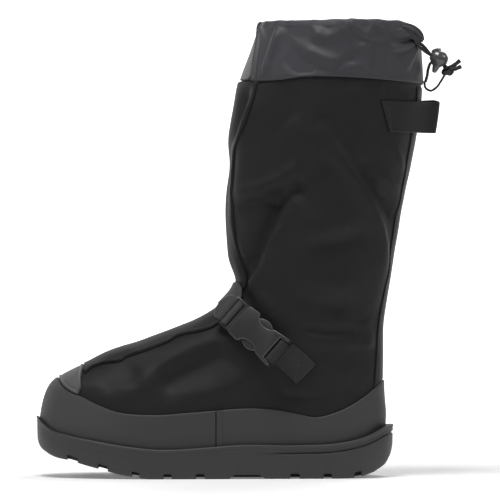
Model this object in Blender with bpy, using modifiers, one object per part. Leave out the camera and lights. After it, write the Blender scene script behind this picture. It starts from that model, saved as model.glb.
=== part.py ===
"""A tall winter overshoe for the left foot: nylon upper, rubber mudguard, cup sole, strap, buckle and drawcord cuff.

All sizes are millimetres until the last step. The toe points along -X, the outer (lateral) side along -Y, +Z is up.
"""

import math

import bmesh
import bpy
import numpy as np
from mathutils import Matrix, Vector
from mathutils.bvhtree import BVHTree

MM = 0.001
GAP = 0.3
AROUND = 44

# Walls and layers, from the upper's outer face outwards
UPPER_WALL = 1.6
RAND_WALL = 2.0
PATCH_WALL = 2.4
PLEAT_WALL = 2.5
CUFF_WALL = 1.5
FASTENER_WALL = 1.7
STRAP_WALL = 1.5
ANCHOR_WALL = 2.0
INSOLE_WALL = 3.0
TAB_WALL = 1.4

# Sole
CUP_GAP = 0.5
TREAD_INSET = 2.0
WALL_FOOT = (0.7, 2.5)
WALL_INSET = 0.3
BEAD_HALF = 1.6
LIP_STEP = 0.6
LUG_DEPTH = 4.5
BEAD_DROP = 7.2
BEAD_GROOVE = 1.4
LIP_BEVEL = 1.2

# The upper's side view, one row for each ring that runs round it, sole to collar: the ring's front and back points.
UPPER_PROFILE = [
    # front x, front z, back x, back z
    (-150.5, 29.8, 146.5, 14.8),
    (-153.4, 42.0, 148.2, 30.0),
    (-153.3, 55.0, 148.9, 47.0),
    (-149.8, 71.0, 149.2, 57.0),
    (-144.4, 81.5, 148.6, 65.0),
    (-136.5, 87.6, 148.0, 72.0),
    (-115.5, 98.3, 147.6, 80.0),
    (-92.0, 110.0, 147.6, 91.0),
    (-66.6, 118.0, 147.8, 104.0),
    (-37.0, 129.0, 147.8, 119.0),
    (-11.0, 140.0, 148.3, 136.0),
    (8.0, 153.5, 151.0, 155.0),
    (20.3, 172.0, 154.5, 177.0),
    (14.2, 196.0, 158.0, 199.0),
    (12.0, 222.0, 161.8, 222.0),
    (12.4, 248.0, 166.4, 248.0),
    (15.4, 276.0, 172.5, 276.0),
    (14.4, 300.0, 177.2, 301.0),
    (18.2, 325.0, 181.0, 326.0),
    (23.5, 350.0, 182.6, 349.0),
    (33.0, 376.0, 181.5, 374.0),
    (40.4, 397.5, 180.0, 397.5),
]
COLLAR_RING = len(UPPER_PROFILE) - 1

# Half widths of the same rings, as the fullness at seven stations from toe to heel, and how far the ring follows the
# left foot's curved centre line. An even fullness is an ellipse, and a dip is the waist.
STATIONS = (0.0, 0.12, 0.3, 0.5, 0.72, 0.88, 1.0)
UPPER_GIRTH = [
    # ring, fullness at the seven stations, share of the foot's curve
    (0, (86, 72, 57.5, 44.5, 43.5, 54.0, 71.0), 1.0),
    (3, (86, 72, 57.0, 44.0, 43.5, 54.5, 71.5), 1.0),
    (5, (74, 64, 53.0, 44.0, 44.0, 55.0, 70.0), 0.9),
    (6, (64, 56, 49.0, 43.5, 44.5, 55.0, 69.0), 0.75),
    (8, (50, 48, 45.5, 43.5, 44.5, 52.0, 62.0), 0.45),
    (10, (42, 43, 45.0, 45.5, 46.0, 50.0, 56.0), 0.2),
    (12, (49, 50, 50.0, 50.5, 50.5, 52.0, 54.0), 0.05),
    (15, (62, 60, 59.0, 59.0, 59.0, 60.0, 62.0), 0.0),
    (18, (66, 63, 61.0, 61.0, 61.0, 62.0, 64.0), 0.0),
    (21, (58, 57, 57.0, 57.0, 57.0, 57.0, 58.0), 0.0),
]
# The centre line of a left foot: the toe swings to the inner side, the waist to the outer side.
CENTRE_LINE = ((0.0, 9.0), (0.15, 7.0), (0.35, 1.0), (0.58, -3.5), (0.8, -1.0), (1.0, 0.0))
# How strongly a ring keeps the footbed's toe spring.
SPRING_SHARE = ((0, 1.0), (1, 0.62), (3, 0.15), (5, 0.0), (21, 0.0))
COLLAR_DIP = 8.0

# Side views of the sole, toe to heel
BED_LINE = (
    (-160, 31.5), (-150, 29.0), (-130, 26.0), (-112, 22.6), (-83.6, 17.0), (-57, 14.0), (-30, 14.0), (160, 14.0),
)  # fmt: skip
TREAD_LINE = (
    (-157.5, 30.5), (-156.2, 28.5), (-148.2, 21.9), (-138.7, 17.9), (-130, 16.4), (-112, 11.4), (-98.6, 8.0),
    (-83.6, 4.0), (-69.5, 1.8), (-57, 0.0), (-40, 0.0), (95, 0.0), (110, 0.0), (130.1, 2.3), (143.6, 7.8),
    (152.2, 15.2), (155.9, 22.7), (157.0, 26.0),
)  # fmt: skip
RIM_LINE = (
    (-158.5, 54.1), (-154.4, 50.4), (-144.6, 42.7), (-131.5, 38.7), (-104.5, 33.2), (-75.2, 28.5), (-49, 26.0),
    (-13.5, 27.4), (20.2, 29.9), (73, 29.7), (106.7, 31.1), (121.4, 33.6), (132.3, 36.6), (143.3, 41.6),
    (151.3, 45.6), (158.0, 47.0),
)  # fmt: skip
LIP_WIDTH = ((0.0, 2.6), (0.1, 3.4), (0.3, 4.4), (0.7, 4.8), (0.9, 6.0), (1.0, 6.6))
LUG_GAPS = (
    (-130, -120), (-102.6, -93.5), (-73, -65.7), (-45.3, -37.5), (-16.9, -8.8), (65.9, 74.8), (95.1, 103.1),
    (122.2, 129),
)  # fmt: skip
ARCH_GAP = ((12.3, 0.0), (17.5, 3.6), (39.0, 3.6), (44.4, 0.0))
TREAD_CHANNELS = (-17.0, 17.0)
CHANNEL_WIDTH = 6.0
CHANNEL_PLACES = (-118.0, -98.0, -84.0, -70.0, -57.0, 120.0)
CHANNEL_DEPTH = 3.8
BELOW_FLOOR = -10.0

# Side views of the overlays on the upper, as edges from front to back or bottom to top
RAND_TOP = (
    (-141.5, 89.5), (-139.2, 86.6), (-134.6, 80.9), (-124.7, 74.2), (-118.5, 72.3), (-103.7, 65.3), (-85.2, 58.5),
    (-66.6, 56.4), (-48.1, 56.1), (-23.4, 57.9), (1.2, 59.8), (17.7, 61.3), (36.2, 61.6), (54.7, 60.3), (73.2, 56.6),
    (89.3, 53.8), (104.1, 57.2), (122.6, 65.9), (135, 74.5), (147.3, 85.6), (152.0, 90.5),
)  # fmt: skip
RAND_SEAM_X = 1.3
RAND_RINGS = (0.12, 1, 2, 3, 4, 5, 6, 7)
PATCH_EDGE = (
    (-138.7, 87.4), (-134.3, 81.8), (-124.4, 75.0), (-119.2, 73.4), (-117.7, 78.9), (-118.1, 87.4), (-116.7, 95.8),
    (-115.7, 102.5),
)  # fmt: skip
PLEAT_EDGE = (
    (-115.2, 90.5), (-104.5, 98.0), (-96.6, 100.3), (-85.4, 101.9), (-78.7, 105.3), (-60.5, 111.6), (-42.0, 118.4),
    (-29.6, 124.6), (-11.1, 128.6), (3.7, 135.6), (16.0, 153.0), (26.4, 169.8), (21.0, 191.8), (17.5, 218.0),
    (16.6, 245.0), (17.5, 271.0), (20.0, 290.0), (30.8, 313.3), (36.0, 330.0), (38.0, 348.6),
)  # fmt: skip
FASTENER_EDGE = ((30.0, 349.6), (33.5, 353.0), (36.4, 362.6), (39.8, 379.4), (43.8, 396.6))
CUFF_FRONT = ((39.6, 340.0), (40.6, 351.0), (42.0, 357.0), (46.0, 373.7), (50.0, 396.2), (51.0, 408.0))
CUFF_STEPS = (0.0, 0.4, 0.75, 1.0)
CUFF_FOLD = ((0.75, 3.4), (-1.0, 4.4), (-2.4, 2.6), (-2.6, GAP), (GAP, GAP))
CUFF_HEM = ((30.0, 349.1), (59.8, 349.8), (77.4, 352.0), (106.5, 352.0), (157.6, 349.1), (190.0, 346.5))
STRAP_OUTER = ((6.2, 135.0), (-1.4, 146.6), (-30.0, 152.0), (-10.0, 190.0), (15.4, 172.5), (20.4, 156.0))
STRAP_INNER = ((62.6, 83.5), (-1.4, 137.6), (-30.0, 152.0), (-10.0, 190.0), (15.4, 172.5), (79.5, 106.5))
STRAP_STEP = (0.98, 1.3)
STRAP_CLEAR = 0.5
ANCHOR_OUTLINE = ((51.5, 101.0), (74.0, 82.5), (91.0, 100.5), (68.6, 118.5))

# Buckle, in its own plane: a runs along the strap from the ladder to the sewn end, b across it
BUCKLE_BAR = (13.8, 146.0)
BUCKLE_HEEL_END = (52.8, 112.4)
BUCKLE_WALL = 6.6
MALE_WALL = 3.2
LADDER = (0.0, 14.4, 14.5)
LADDER_SLOTS = ((2.3, 5.3), (8.2, 11.2))
SLOT_HALF = 12.4
PRONG_OUTLINE = ((14.4, 6.0), (26.0, 8.4), (31.0, 9.2), (44.0, 8.8), (44.0, 10.8), (41.0, 12.2), (34.0, 12.4),
                 (31.0, 11.1), (14.4, 8.8))  # fmt: skip
GUIDE = (40.0, 1.8)
HOUSING_OUTLINE = (
    (14.9, 13.4), (17.0, 15.0), (26.0, 15.6), (28.6, 14.6), (31.0, 11.6), (36.5, 10.1), (42.0, 10.8), (46.0, 12.8),
    (50.0, 13.4), (57.0, 14.4), (64.0, 14.9), (64.5, 12.6), (56.0, 11.4),
)  # fmt: skip
CAVITY = (50.0, 11.6, 4.0)
WEB_BAR = (58.6, 61.0, 13.4, 2.4)

# Pull tab at the back: where its two legs leave the shaft, its fold, and its lower and upper edges
TAB_LEAVES_AT = 0.9
TAB_STARTS_AT = 0.80
TAB_EDGES = ((304.0, 195.6), (331.5, 199.2))
TAB_FOLD_RADIUS = 4.0

# Drawcord, its lock and knot, and the tether
CORD_RADIUS = 1.4
DRAWCORD_NEAR = ((177.0, -27.6, 380.6), (181.6, -22.4, 378.6), (186.0, -15.2, 375.6), (190.6, -11.4, 373.0),
                 (196.9, -11.0, 368.3), (202.6, -11.0, 364.0))  # fmt: skip
DRAWCORD_FAR = ((177.4, -27.0, 384.0), (182.0, -21.4, 382.0), (186.6, -13.4, 378.0), (191.2, -8.1, 372.8),
                (196.9, -7.8, 368.3), (202.6, -7.8, 364.0))  # fmt: skip
LOCK_CENTRE = (197.8, -9.4, 369.8)
LOCK_RADIUS = 7.6
LOCK_TIP = (193.4, -9.4, 357.4)
BUTTON_END = (194.6, -9.4, 380.0)
BORE_CENTRE = (196.9, -9.4, 368.3)
BORE_ALONG = (0.8, 0.0, -0.6)
KNOT_CENTRE = (206.3, -9.4, 361.2)
KNOT_RADIUS = 4.2
TAIL_RADIUS = 1.3
TAILS = (((208.5, -9.0, 362.6), (216.2, -8.0, 368.0)), ((208.8, -10.4, 360.0), (217.0, -12.4, 362.6)))
TETHER_RADIUS = 1.0
TETHER_CORD = ((185.1, -6.2, 350.0), (186.3, -6.6, 344.0), (190.6, -7.2, 341.6), (195.4, -7.6, 344.2),
               (200.0, -8.4, 350.4), (203.4, -9.0, 356.2))  # fmt: skip
TAPE_RADIUS = 1.3
TETHER_TAPE = ((186.2, -2.4, 349.4), (187.6, -3.4, 354.6), (188.6, -6.0, 361.0), (190.4, -8.6, 365.6))


def spline_weights(stations, at):
    """Weights that turn the values at the stations into a smooth curve's values at the given places."""
    stations = np.asarray(stations, float)
    at = np.clip(np.ravel(np.asarray(at, float)), stations[0], stations[-1])
    count = len(stations)
    step = np.diff(stations)
    secant = np.zeros((count - 1, count))
    for i in range(count - 1):
        secant[i, i] = -1 / step[i]
        secant[i, i + 1] = 1 / step[i]
    slope = np.zeros((count, count))
    slope[0] = secant[0]
    slope[-1] = secant[-1]
    for i in range(1, count - 1):
        slope[i] = (step[i] * secant[i - 1] + step[i - 1] * secant[i]) / (step[i - 1] + step[i])
    low = np.clip(np.searchsorted(stations, at, side="right") - 1, 0, count - 2)
    width = step[low][:, None]
    t = ((at - stations[low]) / step[low])[:, None]
    value = np.eye(count)
    return (
        (2 * t**3 - 3 * t**2 + 1) * value[low]
        + (t**3 - 2 * t**2 + t) * width * slope[low]
        + (3 * t**2 - 2 * t**3) * value[low + 1]
        + (t**3 - t**2) * width * slope[low + 1]
    )


def line_at(table, at):
    """The smooth curve through a table of (place, value) rows."""
    places, values = zip(*table)
    return spline_weights(places, at) @ np.array(values, float)


def upper_surface(angle, ring):
    """Points of the upper's outer face. Angle 0 is the front, pi the back, and the outer side lies between them."""
    angle, ring = np.broadcast_arrays(np.asarray(angle, float), np.asarray(ring, float))
    angle, ring = angle.ravel(), ring.ravel()
    profile = spline_weights(range(len(UPPER_PROFILE)), ring) @ np.array(UPPER_PROFILE)
    front_x, front_z, back_x, back_z = profile.T
    along = (1 - np.cos(angle)) / 2
    by_ring = spline_weights([row[0] for row in UPPER_GIRTH], ring)
    fullness = (by_ring @ np.array([row[1] for row in UPPER_GIRTH]) * spline_weights(STATIONS, along)).sum(axis=1)
    curve_share = by_ring @ np.array([row[2] for row in UPPER_GIRTH])
    x = front_x + along * (back_x - front_x)
    y = curve_share * line_at(CENTRE_LINE, along) - np.sin(angle) * fullness
    spring = line_at(BED_LINE, x) - (1 - along) * line_at(BED_LINE, front_x) - along * line_at(BED_LINE, back_x)
    dip = COLLAR_DIP * np.clip(ring - COLLAR_RING + 1, 0, 1) * np.clip((along - 0.86) / 0.14, 0, 1) ** 2
    z = front_z + along * (back_z - front_z) + line_at(SPRING_SHARE, ring) * spring - dip
    return np.stack([x, y, z], axis=1)


def upper_offset(angle, ring, distance):
    """Points at a distance outside the upper's outer face."""
    little = 0.02
    around = upper_surface(angle + little, ring) - upper_surface(angle - little, ring)
    high = np.minimum(np.asarray(ring, float) + little, COLLAR_RING)
    low = np.maximum(np.asarray(ring, float) - little, 0)
    upward = upper_surface(angle, high) - upper_surface(angle, low)
    normal = np.cross(around, upward)
    normal /= np.linalg.norm(normal, axis=1)[:, None]
    return upper_surface(angle, ring) + normal * np.asarray(distance).reshape(-1, 1)


def ring_at_height(angle, height_line, low=0.0, high=6.0):
    """The ring at which each angle's upright line crosses a side-view line."""
    low = np.full(len(angle), low)
    high = np.full(len(angle), high)
    for _ in range(40):
        middle = (low + high) / 2
        point = upper_surface(angle, middle)
        below = point[:, 2] < line_at(height_line, point[:, 0])
        low = np.where(below, middle, low)
        high = np.where(below, high, middle)
    return (low + high) / 2


ANGLES = 2 * math.pi * np.arange(AROUND) / AROUND


def material(name, colour, roughness):
    made = bpy.data.materials.new(name)
    made.use_nodes = True
    shader = made.node_tree.nodes["Principled BSDF"]
    shader.inputs["Base Color"].default_value = (*colour, 1.0)
    shader.inputs["Roughness"].default_value = roughness
    shader.inputs["Metallic"].default_value = 0.0
    return made


def add_object(name, data, finish=None):
    """Links an object to the overshoe, or to the cutters where it has no finish."""
    thing = bpy.data.objects.new(name, data)
    if finish is None:
        CUTTERS.objects.link(thing)
        thing.hide_render = True
        thing.display_type = "WIRE"
    else:
        OVERSHOE.objects.link(thing)
        data.materials.append(finish)
    return thing


def mesh_from(name, grid, ends, down_from=None):
    """Joins closed loops of points in order. The ends meet each other, or each is closed across by rungs.

    Loops from down_from on run back down an inner face. Their quads are split like the outer face's, so that the
    layers over each other stay parallel.
    """
    shape = bmesh.new()
    loops = [[shape.verts.new(point * MM) for point in loop] for loop in grid]
    count = len(loops[0])
    pairs = list(zip(loops, loops[1:]))
    if ends == "joined":
        pairs.append((loops[-1], loops[0]))
    for number, (lower, upper) in enumerate(pairs):
        for i in range(count):
            j = (i + 1) % count
            if down_from is not None and number >= down_from:
                shape.faces.new((lower[i], lower[j], upper[i]))
                shape.faces.new((lower[j], upper[j], upper[i]))
            else:
                shape.faces.new((lower[i], lower[j], upper[j]))
                shape.faces.new((lower[i], upper[j], upper[i]))
    if ends == "rungs":
        for loop in (loops[0], loops[-1]):
            for i in range(count // 2):
                corners = (loop[i], loop[i + 1], loop[count - i - 1], loop[-i])
                shape.faces.new(list(dict.fromkeys(corners)))
    bmesh.ops.recalc_face_normals(shape, faces=shape.faces)
    if shape.calc_volume(signed=True) < 0:
        bmesh.ops.reverse_faces(shape, faces=shape.faces)
    mesh = bpy.data.meshes.new(name)
    shape.to_mesh(mesh)
    shape.free()
    mesh.shade_smooth()
    mesh.set_sharp_from_angle(angle=math.radians(40))
    return mesh


def band(name, rings, inner, outer, finish=None):
    """A closed band round the upper between two distances from its face, with edges at the first and last ring."""
    outside = [upper_offset(ANGLES, ring, outer) for ring in rings]
    inside = [upper_offset(ANGLES, ring, inner) for ring in reversed(rings)]
    return add_object(name, mesh_from(name, outside + inside, "joined", len(outside)), finish)


def side_prism(name, outline, y_low, y_high):
    """A cutter: an outline of the side view, drawn through from one y to the other."""
    shape = bmesh.new()
    face = shape.faces.new([shape.verts.new((x * MM, y_low * MM, z * MM)) for x, z in outline])
    through = bmesh.ops.extrude_face_region(shape, geom=[face])["geom"]
    moved = [item for item in through if isinstance(item, bmesh.types.BMVert)]
    bmesh.ops.translate(shape, verts=moved, vec=(0, (y_high - y_low) * MM, 0))
    bmesh.ops.recalc_face_normals(shape, faces=shape.faces)
    mesh = bpy.data.meshes.new(name)
    shape.to_mesh(mesh)
    shape.free()
    return add_object(name, mesh)


def boolean(thing, other, operation):
    modifier = thing.modifiers.new(f"{operation.lower()} {other.name}", "BOOLEAN")
    modifier.operation = operation
    modifier.solver = "EXACT"
    modifier.object = other


def make_upper():
    rings = list(range(COLLAR_RING + 1))
    return band("upper", rings, -UPPER_WALL, 0.0, material("shaft_nylon", (0.021, 0.021, 0.023), 0.75))


def make_rand():
    finish = material("mudguard_rubber", (0.036, 0.036, 0.039), 0.62)
    top = list(RAND_TOP)
    left, right, floor = top[0][0] - 40, top[-1][0] + 40, BELOW_FLOOR
    half_gap = GAP / 2
    seam_z = float(line_at(RAND_TOP, RAND_SEAM_X)[0])
    toe_top = [point for point in top if point[0] < RAND_SEAM_X - 1]
    heel_top = [point for point in top if point[0] > RAND_SEAM_X + 1]
    toe_outline = [(RAND_SEAM_X - half_gap, floor), (RAND_SEAM_X - half_gap, seam_z), *reversed(toe_top)]
    toe_outline += [(left, top[0][1]), (left, floor)]
    heel_outline = [(RAND_SEAM_X + half_gap, floor), (RAND_SEAM_X + half_gap, seam_z), *heel_top]
    heel_outline += [(right, top[-1][1]), (right, floor)]
    for name, outline in (("rand_toe", toe_outline), ("rand_heel", heel_outline)):
        rand = band(name, RAND_RINGS, GAP, GAP + RAND_WALL, finish)
        boolean(rand, side_prism(f"{name}_outline", outline, -150, 150), "INTERSECT")


def make_toe_patch():
    finish = material("toe_patch_rubber", (0.07, 0.07, 0.075), 0.6)
    patch = band("toe_patch", [3, 4, 5, 6, 7], GAP, GAP + PATCH_WALL, finish)
    outline = [*PATCH_EDGE, (-116, 130), (-170, 130), (-170, PATCH_EDGE[0][1] + 1.5), (-142, PATCH_EDGE[0][1] + 1.5)]
    boolean(patch, side_prism("toe_patch_outline", outline, -150, 150), "INTERSECT")


def make_front_pleat():
    finish = material("pleat_nylon", (0.026, 0.026, 0.028), 0.7)
    pleat = band("front_pleat", range(4, 21), GAP, GAP + PLEAT_WALL, finish)
    outline = [*PLEAT_EDGE, (-60, PLEAT_EDGE[-1][1]), (PLEAT_EDGE[0][0], 180)]
    boolean(pleat, side_prism("front_pleat_outline", outline, -150, 150), "INTERSECT")


def make_cuff():
    """A collar sewn outside the shaft and folded over its top edge, open in front."""
    hem = ring_at_height(ANGLES, CUFF_HEM, 17.0, 20.0)
    rings = [hem + (COLLAR_RING - hem) * step for step in CUFF_STEPS]
    outside = [upper_offset(ANGLES, ring, GAP + CUFF_WALL) for ring in rings]
    collar = upper_surface(ANGLES, COLLAR_RING)
    fold = []
    for distance, rise in CUFF_FOLD:
        loop = upper_offset(ANGLES, COLLAR_RING, distance)
        loop[:, 2] = collar[:, 2] + rise
        fold.append(loop)
    inside = [upper_offset(ANGLES, ring, GAP) for ring in reversed(rings[:-1])]
    mesh = mesh_from("cuff", outside + fold + inside, "joined", len(outside + fold))
    cuff = add_object("cuff", mesh, material("cuff_taffeta", (0.042, 0.042, 0.05), 0.5))
    outline = [*CUFF_FRONT, (230, 420), (230, 330)]
    boolean(cuff, side_prism("cuff_outline", outline, -150, 150), "INTERSECT")


def make_fastener():
    finish = material("grey_fastening", (0.18, 0.18, 0.19), 0.85)
    strip = band("closure_strip", [19, 20, COLLAR_RING], GAP, GAP + FASTENER_WALL, finish)
    outline = [*FASTENER_EDGE, (-10, FASTENER_EDGE[-1][1]), (-10, FASTENER_EDGE[0][1])]
    boolean(strip, side_prism("closure_strip_outline", outline, -150, 150), "INTERSECT")


def make_strap():
    """Webbing over the instep: it steps up over the pleat in front and lies on the upper at the inner side."""
    from_front = np.minimum(ANGLES, 2 * math.pi - ANGLES)
    near, far = STRAP_STEP
    eased = np.clip((far - from_front) / (far - near), 0, 1)
    under = STRAP_CLEAR + (PLEAT_WALL + 2 * GAP - STRAP_CLEAR) * eased * eased * (3 - 2 * eased)
    finish = material("webbing", (0.045, 0.045, 0.047), 0.7)
    strap = band("instep_strap", range(5, 16), under, under + STRAP_WALL, finish)
    outline = side_prism("strap_outer_side", STRAP_OUTER, -120, 1)
    boolean(outline, side_prism("strap_inner_side", STRAP_INNER, -1, 120), "UNION")
    boolean(strap, outline, "INTERSECT")


def make_anchor():
    finish = material("anchor_webbing", (0.022, 0.022, 0.023), 0.75)
    anchor = band("strap_anchor", range(4, 12), GAP, GAP + ANCHOR_WALL, finish)
    boolean(anchor, side_prism("strap_anchor_outline", ANCHOR_OUTLINE, -120, 0), "INTERSECT")


def sole_outline(inset):
    """The sole's outer outline, drawn in by an inset, in plan."""
    rim_ring = ring_at_height(ANGLES, RIM_LINE)
    inner = upper_surface(ANGLES, rim_ring)
    outer = upper_offset(ANGLES, rim_ring, 1.0)
    outward = (outer - inner)[:, :2]
    outward /= np.linalg.norm(outward, axis=1)[:, None]
    along = (1 - np.cos(ANGLES)) / 2
    reach = GAP + RAND_WALL + line_at(LIP_WIDTH, along)[:, None] - np.asarray(inset).reshape(-1, 1)
    return inner[:, :2] + outward * reach


def sole_loop(inset, height):
    plan = sole_outline(inset)
    return np.column_stack([plan, height(plan[:, 0])])


def make_sole():
    """A cup sole: tread, side wall with a bead near its top, bevelled lip, and the cup that holds the upper."""
    along = (1 - np.cos(ANGLES)) / 2
    heel_share = np.clip((along - 0.62) / 0.08, 0, 1)

    def tread(x):
        return np.maximum(line_at(TREAD_LINE, x), 0.0)

    def rim(drop):
        return lambda x: line_at(RIM_LINE, x) - drop

    wall = [
        sole_loop(TREAD_INSET, tread),
        sole_loop(WALL_FOOT[0], lambda x: tread(x) + WALL_FOOT[1]),
        sole_loop(WALL_INSET, rim(BEAD_DROP + BEAD_HALF)),
        sole_loop(WALL_INSET + BEAD_GROOVE * heel_share, rim(BEAD_DROP)),
        sole_loop(0.0, rim(BEAD_DROP - BEAD_HALF)),
        sole_loop(0.0, rim(LIP_BEVEL)),
        sole_loop(LIP_BEVEL, rim(0.0)),
    ]
    clear = GAP + RAND_WALL + CUP_GAP
    rim_ring = ring_at_height(ANGLES, RIM_LINE)
    lip = upper_offset(ANGLES, rim_ring, clear)
    lip[:, 2] = line_at(RIM_LINE, lip[:, 0]) - LIP_STEP
    middle = upper_offset(ANGLES, rim_ring / 2, clear)
    foot = upper_offset(ANGLES, 0.0, clear)
    foot[:, 2] = line_at(BED_LINE, foot[:, 0])
    mesh = mesh_from("outsole", [*wall, lip, middle, foot], "rungs", len(wall))
    sole = add_object("outsole", mesh, material("sole_rubber", (0.031, 0.031, 0.034), 0.6))
    for number, (start, end) in enumerate(LUG_GAPS):
        tops = line_at(TREAD_LINE, [start, end]) + LUG_DEPTH
        outline = [(start, BELOW_FLOOR), (end, BELOW_FLOOR), (end, tops[1]), (start, tops[0])]
        boolean(sole, side_prism(f"lug_gap_{number}", outline, -90, 90), "DIFFERENCE")
    arch = [(ARCH_GAP[0][0], BELOW_FLOOR), *ARCH_GAP, (ARCH_GAP[-1][0], BELOW_FLOOR)]
    boolean(sole, side_prism("arch_gap", arch, -90, 90), "DIFFERENCE")
    channel_top = line_at(TREAD_LINE, CHANNEL_PLACES) + CHANNEL_DEPTH
    outline = [(CHANNEL_PLACES[0], BELOW_FLOOR), *zip(CHANNEL_PLACES, channel_top), (CHANNEL_PLACES[-1], BELOW_FLOOR)]
    for number, y in enumerate(TREAD_CHANNELS):
        channel = side_prism(f"tread_channel_{number}", outline, y - CHANNEL_WIDTH / 2, y + CHANNEL_WIDTH / 2)
        boolean(sole, channel, "DIFFERENCE")


def make_insole():
    inset = -(UPPER_WALL + 3 * GAP)
    edge = upper_offset(ANGLES, 0.2, inset)
    loops = []
    for distance, rise in ((1.0, GAP), (0.0, GAP + 0.8), (0.0, GAP + INSOLE_WALL)):
        loop = edge.copy()
        loop[:, :2] = upper_offset(ANGLES, 0.2, inset - distance)[:, :2]
        loop[:, 2] = line_at(BED_LINE, loop[:, 0]) + rise
        loops.append(loop)
    add_object("insole", mesh_from("insole", loops, "rungs"), material("insole_board", (0.06, 0.06, 0.06), 0.9))


def plate(name, outlines, thickness, finish=None):
    """A flat piece: its first outline filled, with the others as holes, through a thickness."""
    curve = bpy.data.curves.new(name, "CURVE")
    curve.dimensions = "2D"
    curve.fill_mode = "BOTH"
    curve.extrude = thickness / 2 * MM
    for outline in outlines:
        spline = curve.splines.new("POLY")
        spline.points.add(len(outline) - 1)
        spline.use_cyclic_u = True
        for point, (a, b) in zip(spline.points, outline):
            point.co = (a * MM, b * MM, 0, 1)
    shaped = add_object(f"{name}_flat", curve)
    mesh = bpy.data.meshes.new_from_object(shaped.evaluated_get(bpy.context.evaluated_depsgraph_get()))
    bpy.data.objects.remove(shaped)
    tidy = bmesh.new()
    tidy.from_mesh(mesh)
    bmesh.ops.remove_doubles(tidy, verts=tidy.verts, dist=1e-6)
    bmesh.ops.recalc_face_normals(tidy, faces=tidy.faces)
    tidy.to_mesh(mesh)
    tidy.free()
    mesh.name = name
    return add_object(name, mesh, finish)


def box_cutter(name, low, high):
    shape = bmesh.new()
    bmesh.ops.create_cube(shape, size=1.0)
    size = [(top - bottom) * MM for bottom, top in zip(low, high)]
    middle = [(top + bottom) / 2 * MM for bottom, top in zip(low, high)]
    bmesh.ops.scale(shape, vec=size, verts=shape.verts)
    bmesh.ops.translate(shape, vec=middle, verts=shape.verts)
    mesh = bpy.data.meshes.new(name)
    shape.to_mesh(mesh)
    shape.free()
    return add_object(name, mesh)


def buckle_place():
    """The buckle's plane: it lies on the outer side of the ankle, as near as the pieces under it allow."""
    angles = np.linspace(0, math.pi, 90)
    rings = np.linspace(4, 16, 90)
    points = [Vector(point) for ring in rings for point in upper_surface(angles, ring)]
    count = len(angles)
    faces = [
        (r * count + i, r * count + i + 1, (r + 1) * count + i + 1, (r + 1) * count + i)
        for r in range(len(rings) - 1)
        for i in range(count - 1)
    ]
    skin = BVHTree.FromPolygons(points, faces)

    def on_skin(x, z):
        return skin.ray_cast(Vector((x, -200, z)), Vector((0, 1, 0)))[0]

    start = on_skin(*BUCKLE_BAR)
    end = on_skin(*BUCKLE_HEEL_END)
    along = (end - start).normalized()
    slope_x, slope_z = -along.z, along.x
    middle = (start + end) / 2
    above = on_skin(middle.x + 10 * slope_x, middle.z + 10 * slope_z)
    below = on_skin(middle.x - 10 * slope_x, middle.z - 10 * slope_z)
    across = (above - below).normalized()
    outward = across.cross(along).normalized()
    if outward.y > 0:
        outward = -outward
    across = outward.cross(along).normalized()
    lift = -100.0
    for a in range(0, 65, 4):
        for b in (-15, -8, 0, 8, 15):
            place = start + along * a + across * b
            under = skin.ray_cast(place + outward * 60, -outward)[0]
            clear = 0.5 + (ANCHOR_WALL + GAP if a > 48 else 0)
            lift = max(lift, (under - start).dot(outward) + clear)
    base = start + outward * (lift + BUCKLE_WALL / 2)
    turn = Matrix((along, across, outward)).transposed().to_4x4()
    return Matrix.Translation(base * MM) @ turn


def mirrored(half):
    return [*half, *[(a, -b) for a, b in reversed(half)]]


def make_buckle():
    finish = material("buckle_plastic", (0.045, 0.045, 0.048), 0.4)
    place = buckle_place()
    start, shoulder, half = LADDER
    prong = list(PRONG_OUTLINE)
    upper_half = [(start, half - 1.0), (start + 1.0, half), (shoulder, half), *reversed(prong)]
    upper_half += [(shoulder, GUIDE[1]), (GUIDE[0], GUIDE[1])]
    slots = [[(a0, -SLOT_HALF), (a1, -SLOT_HALF), (a1, SLOT_HALF), (a0, SLOT_HALF)] for a0, a1 in LADDER_SLOTS]
    male = plate("buckle_male", [mirrored(upper_half), *slots], MALE_WALL, finish)
    female = plate("buckle_female", [mirrored(list(HOUSING_OUTLINE))], BUCKLE_WALL, finish)
    depth, half, height = CAVITY
    cavity = box_cutter("buckle_cavity", (10, -half, -height / 2), (depth, half, height / 2))
    boolean(female, cavity, "DIFFERENCE")
    start, end, half, height = WEB_BAR
    bar = box_cutter("buckle_web_bar", (start, -half, -height / 2), (end, half, height / 2))
    boolean(female, bar, "UNION")
    for thing in (male, female, cavity, bar):
        thing.matrix_world = place


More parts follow.
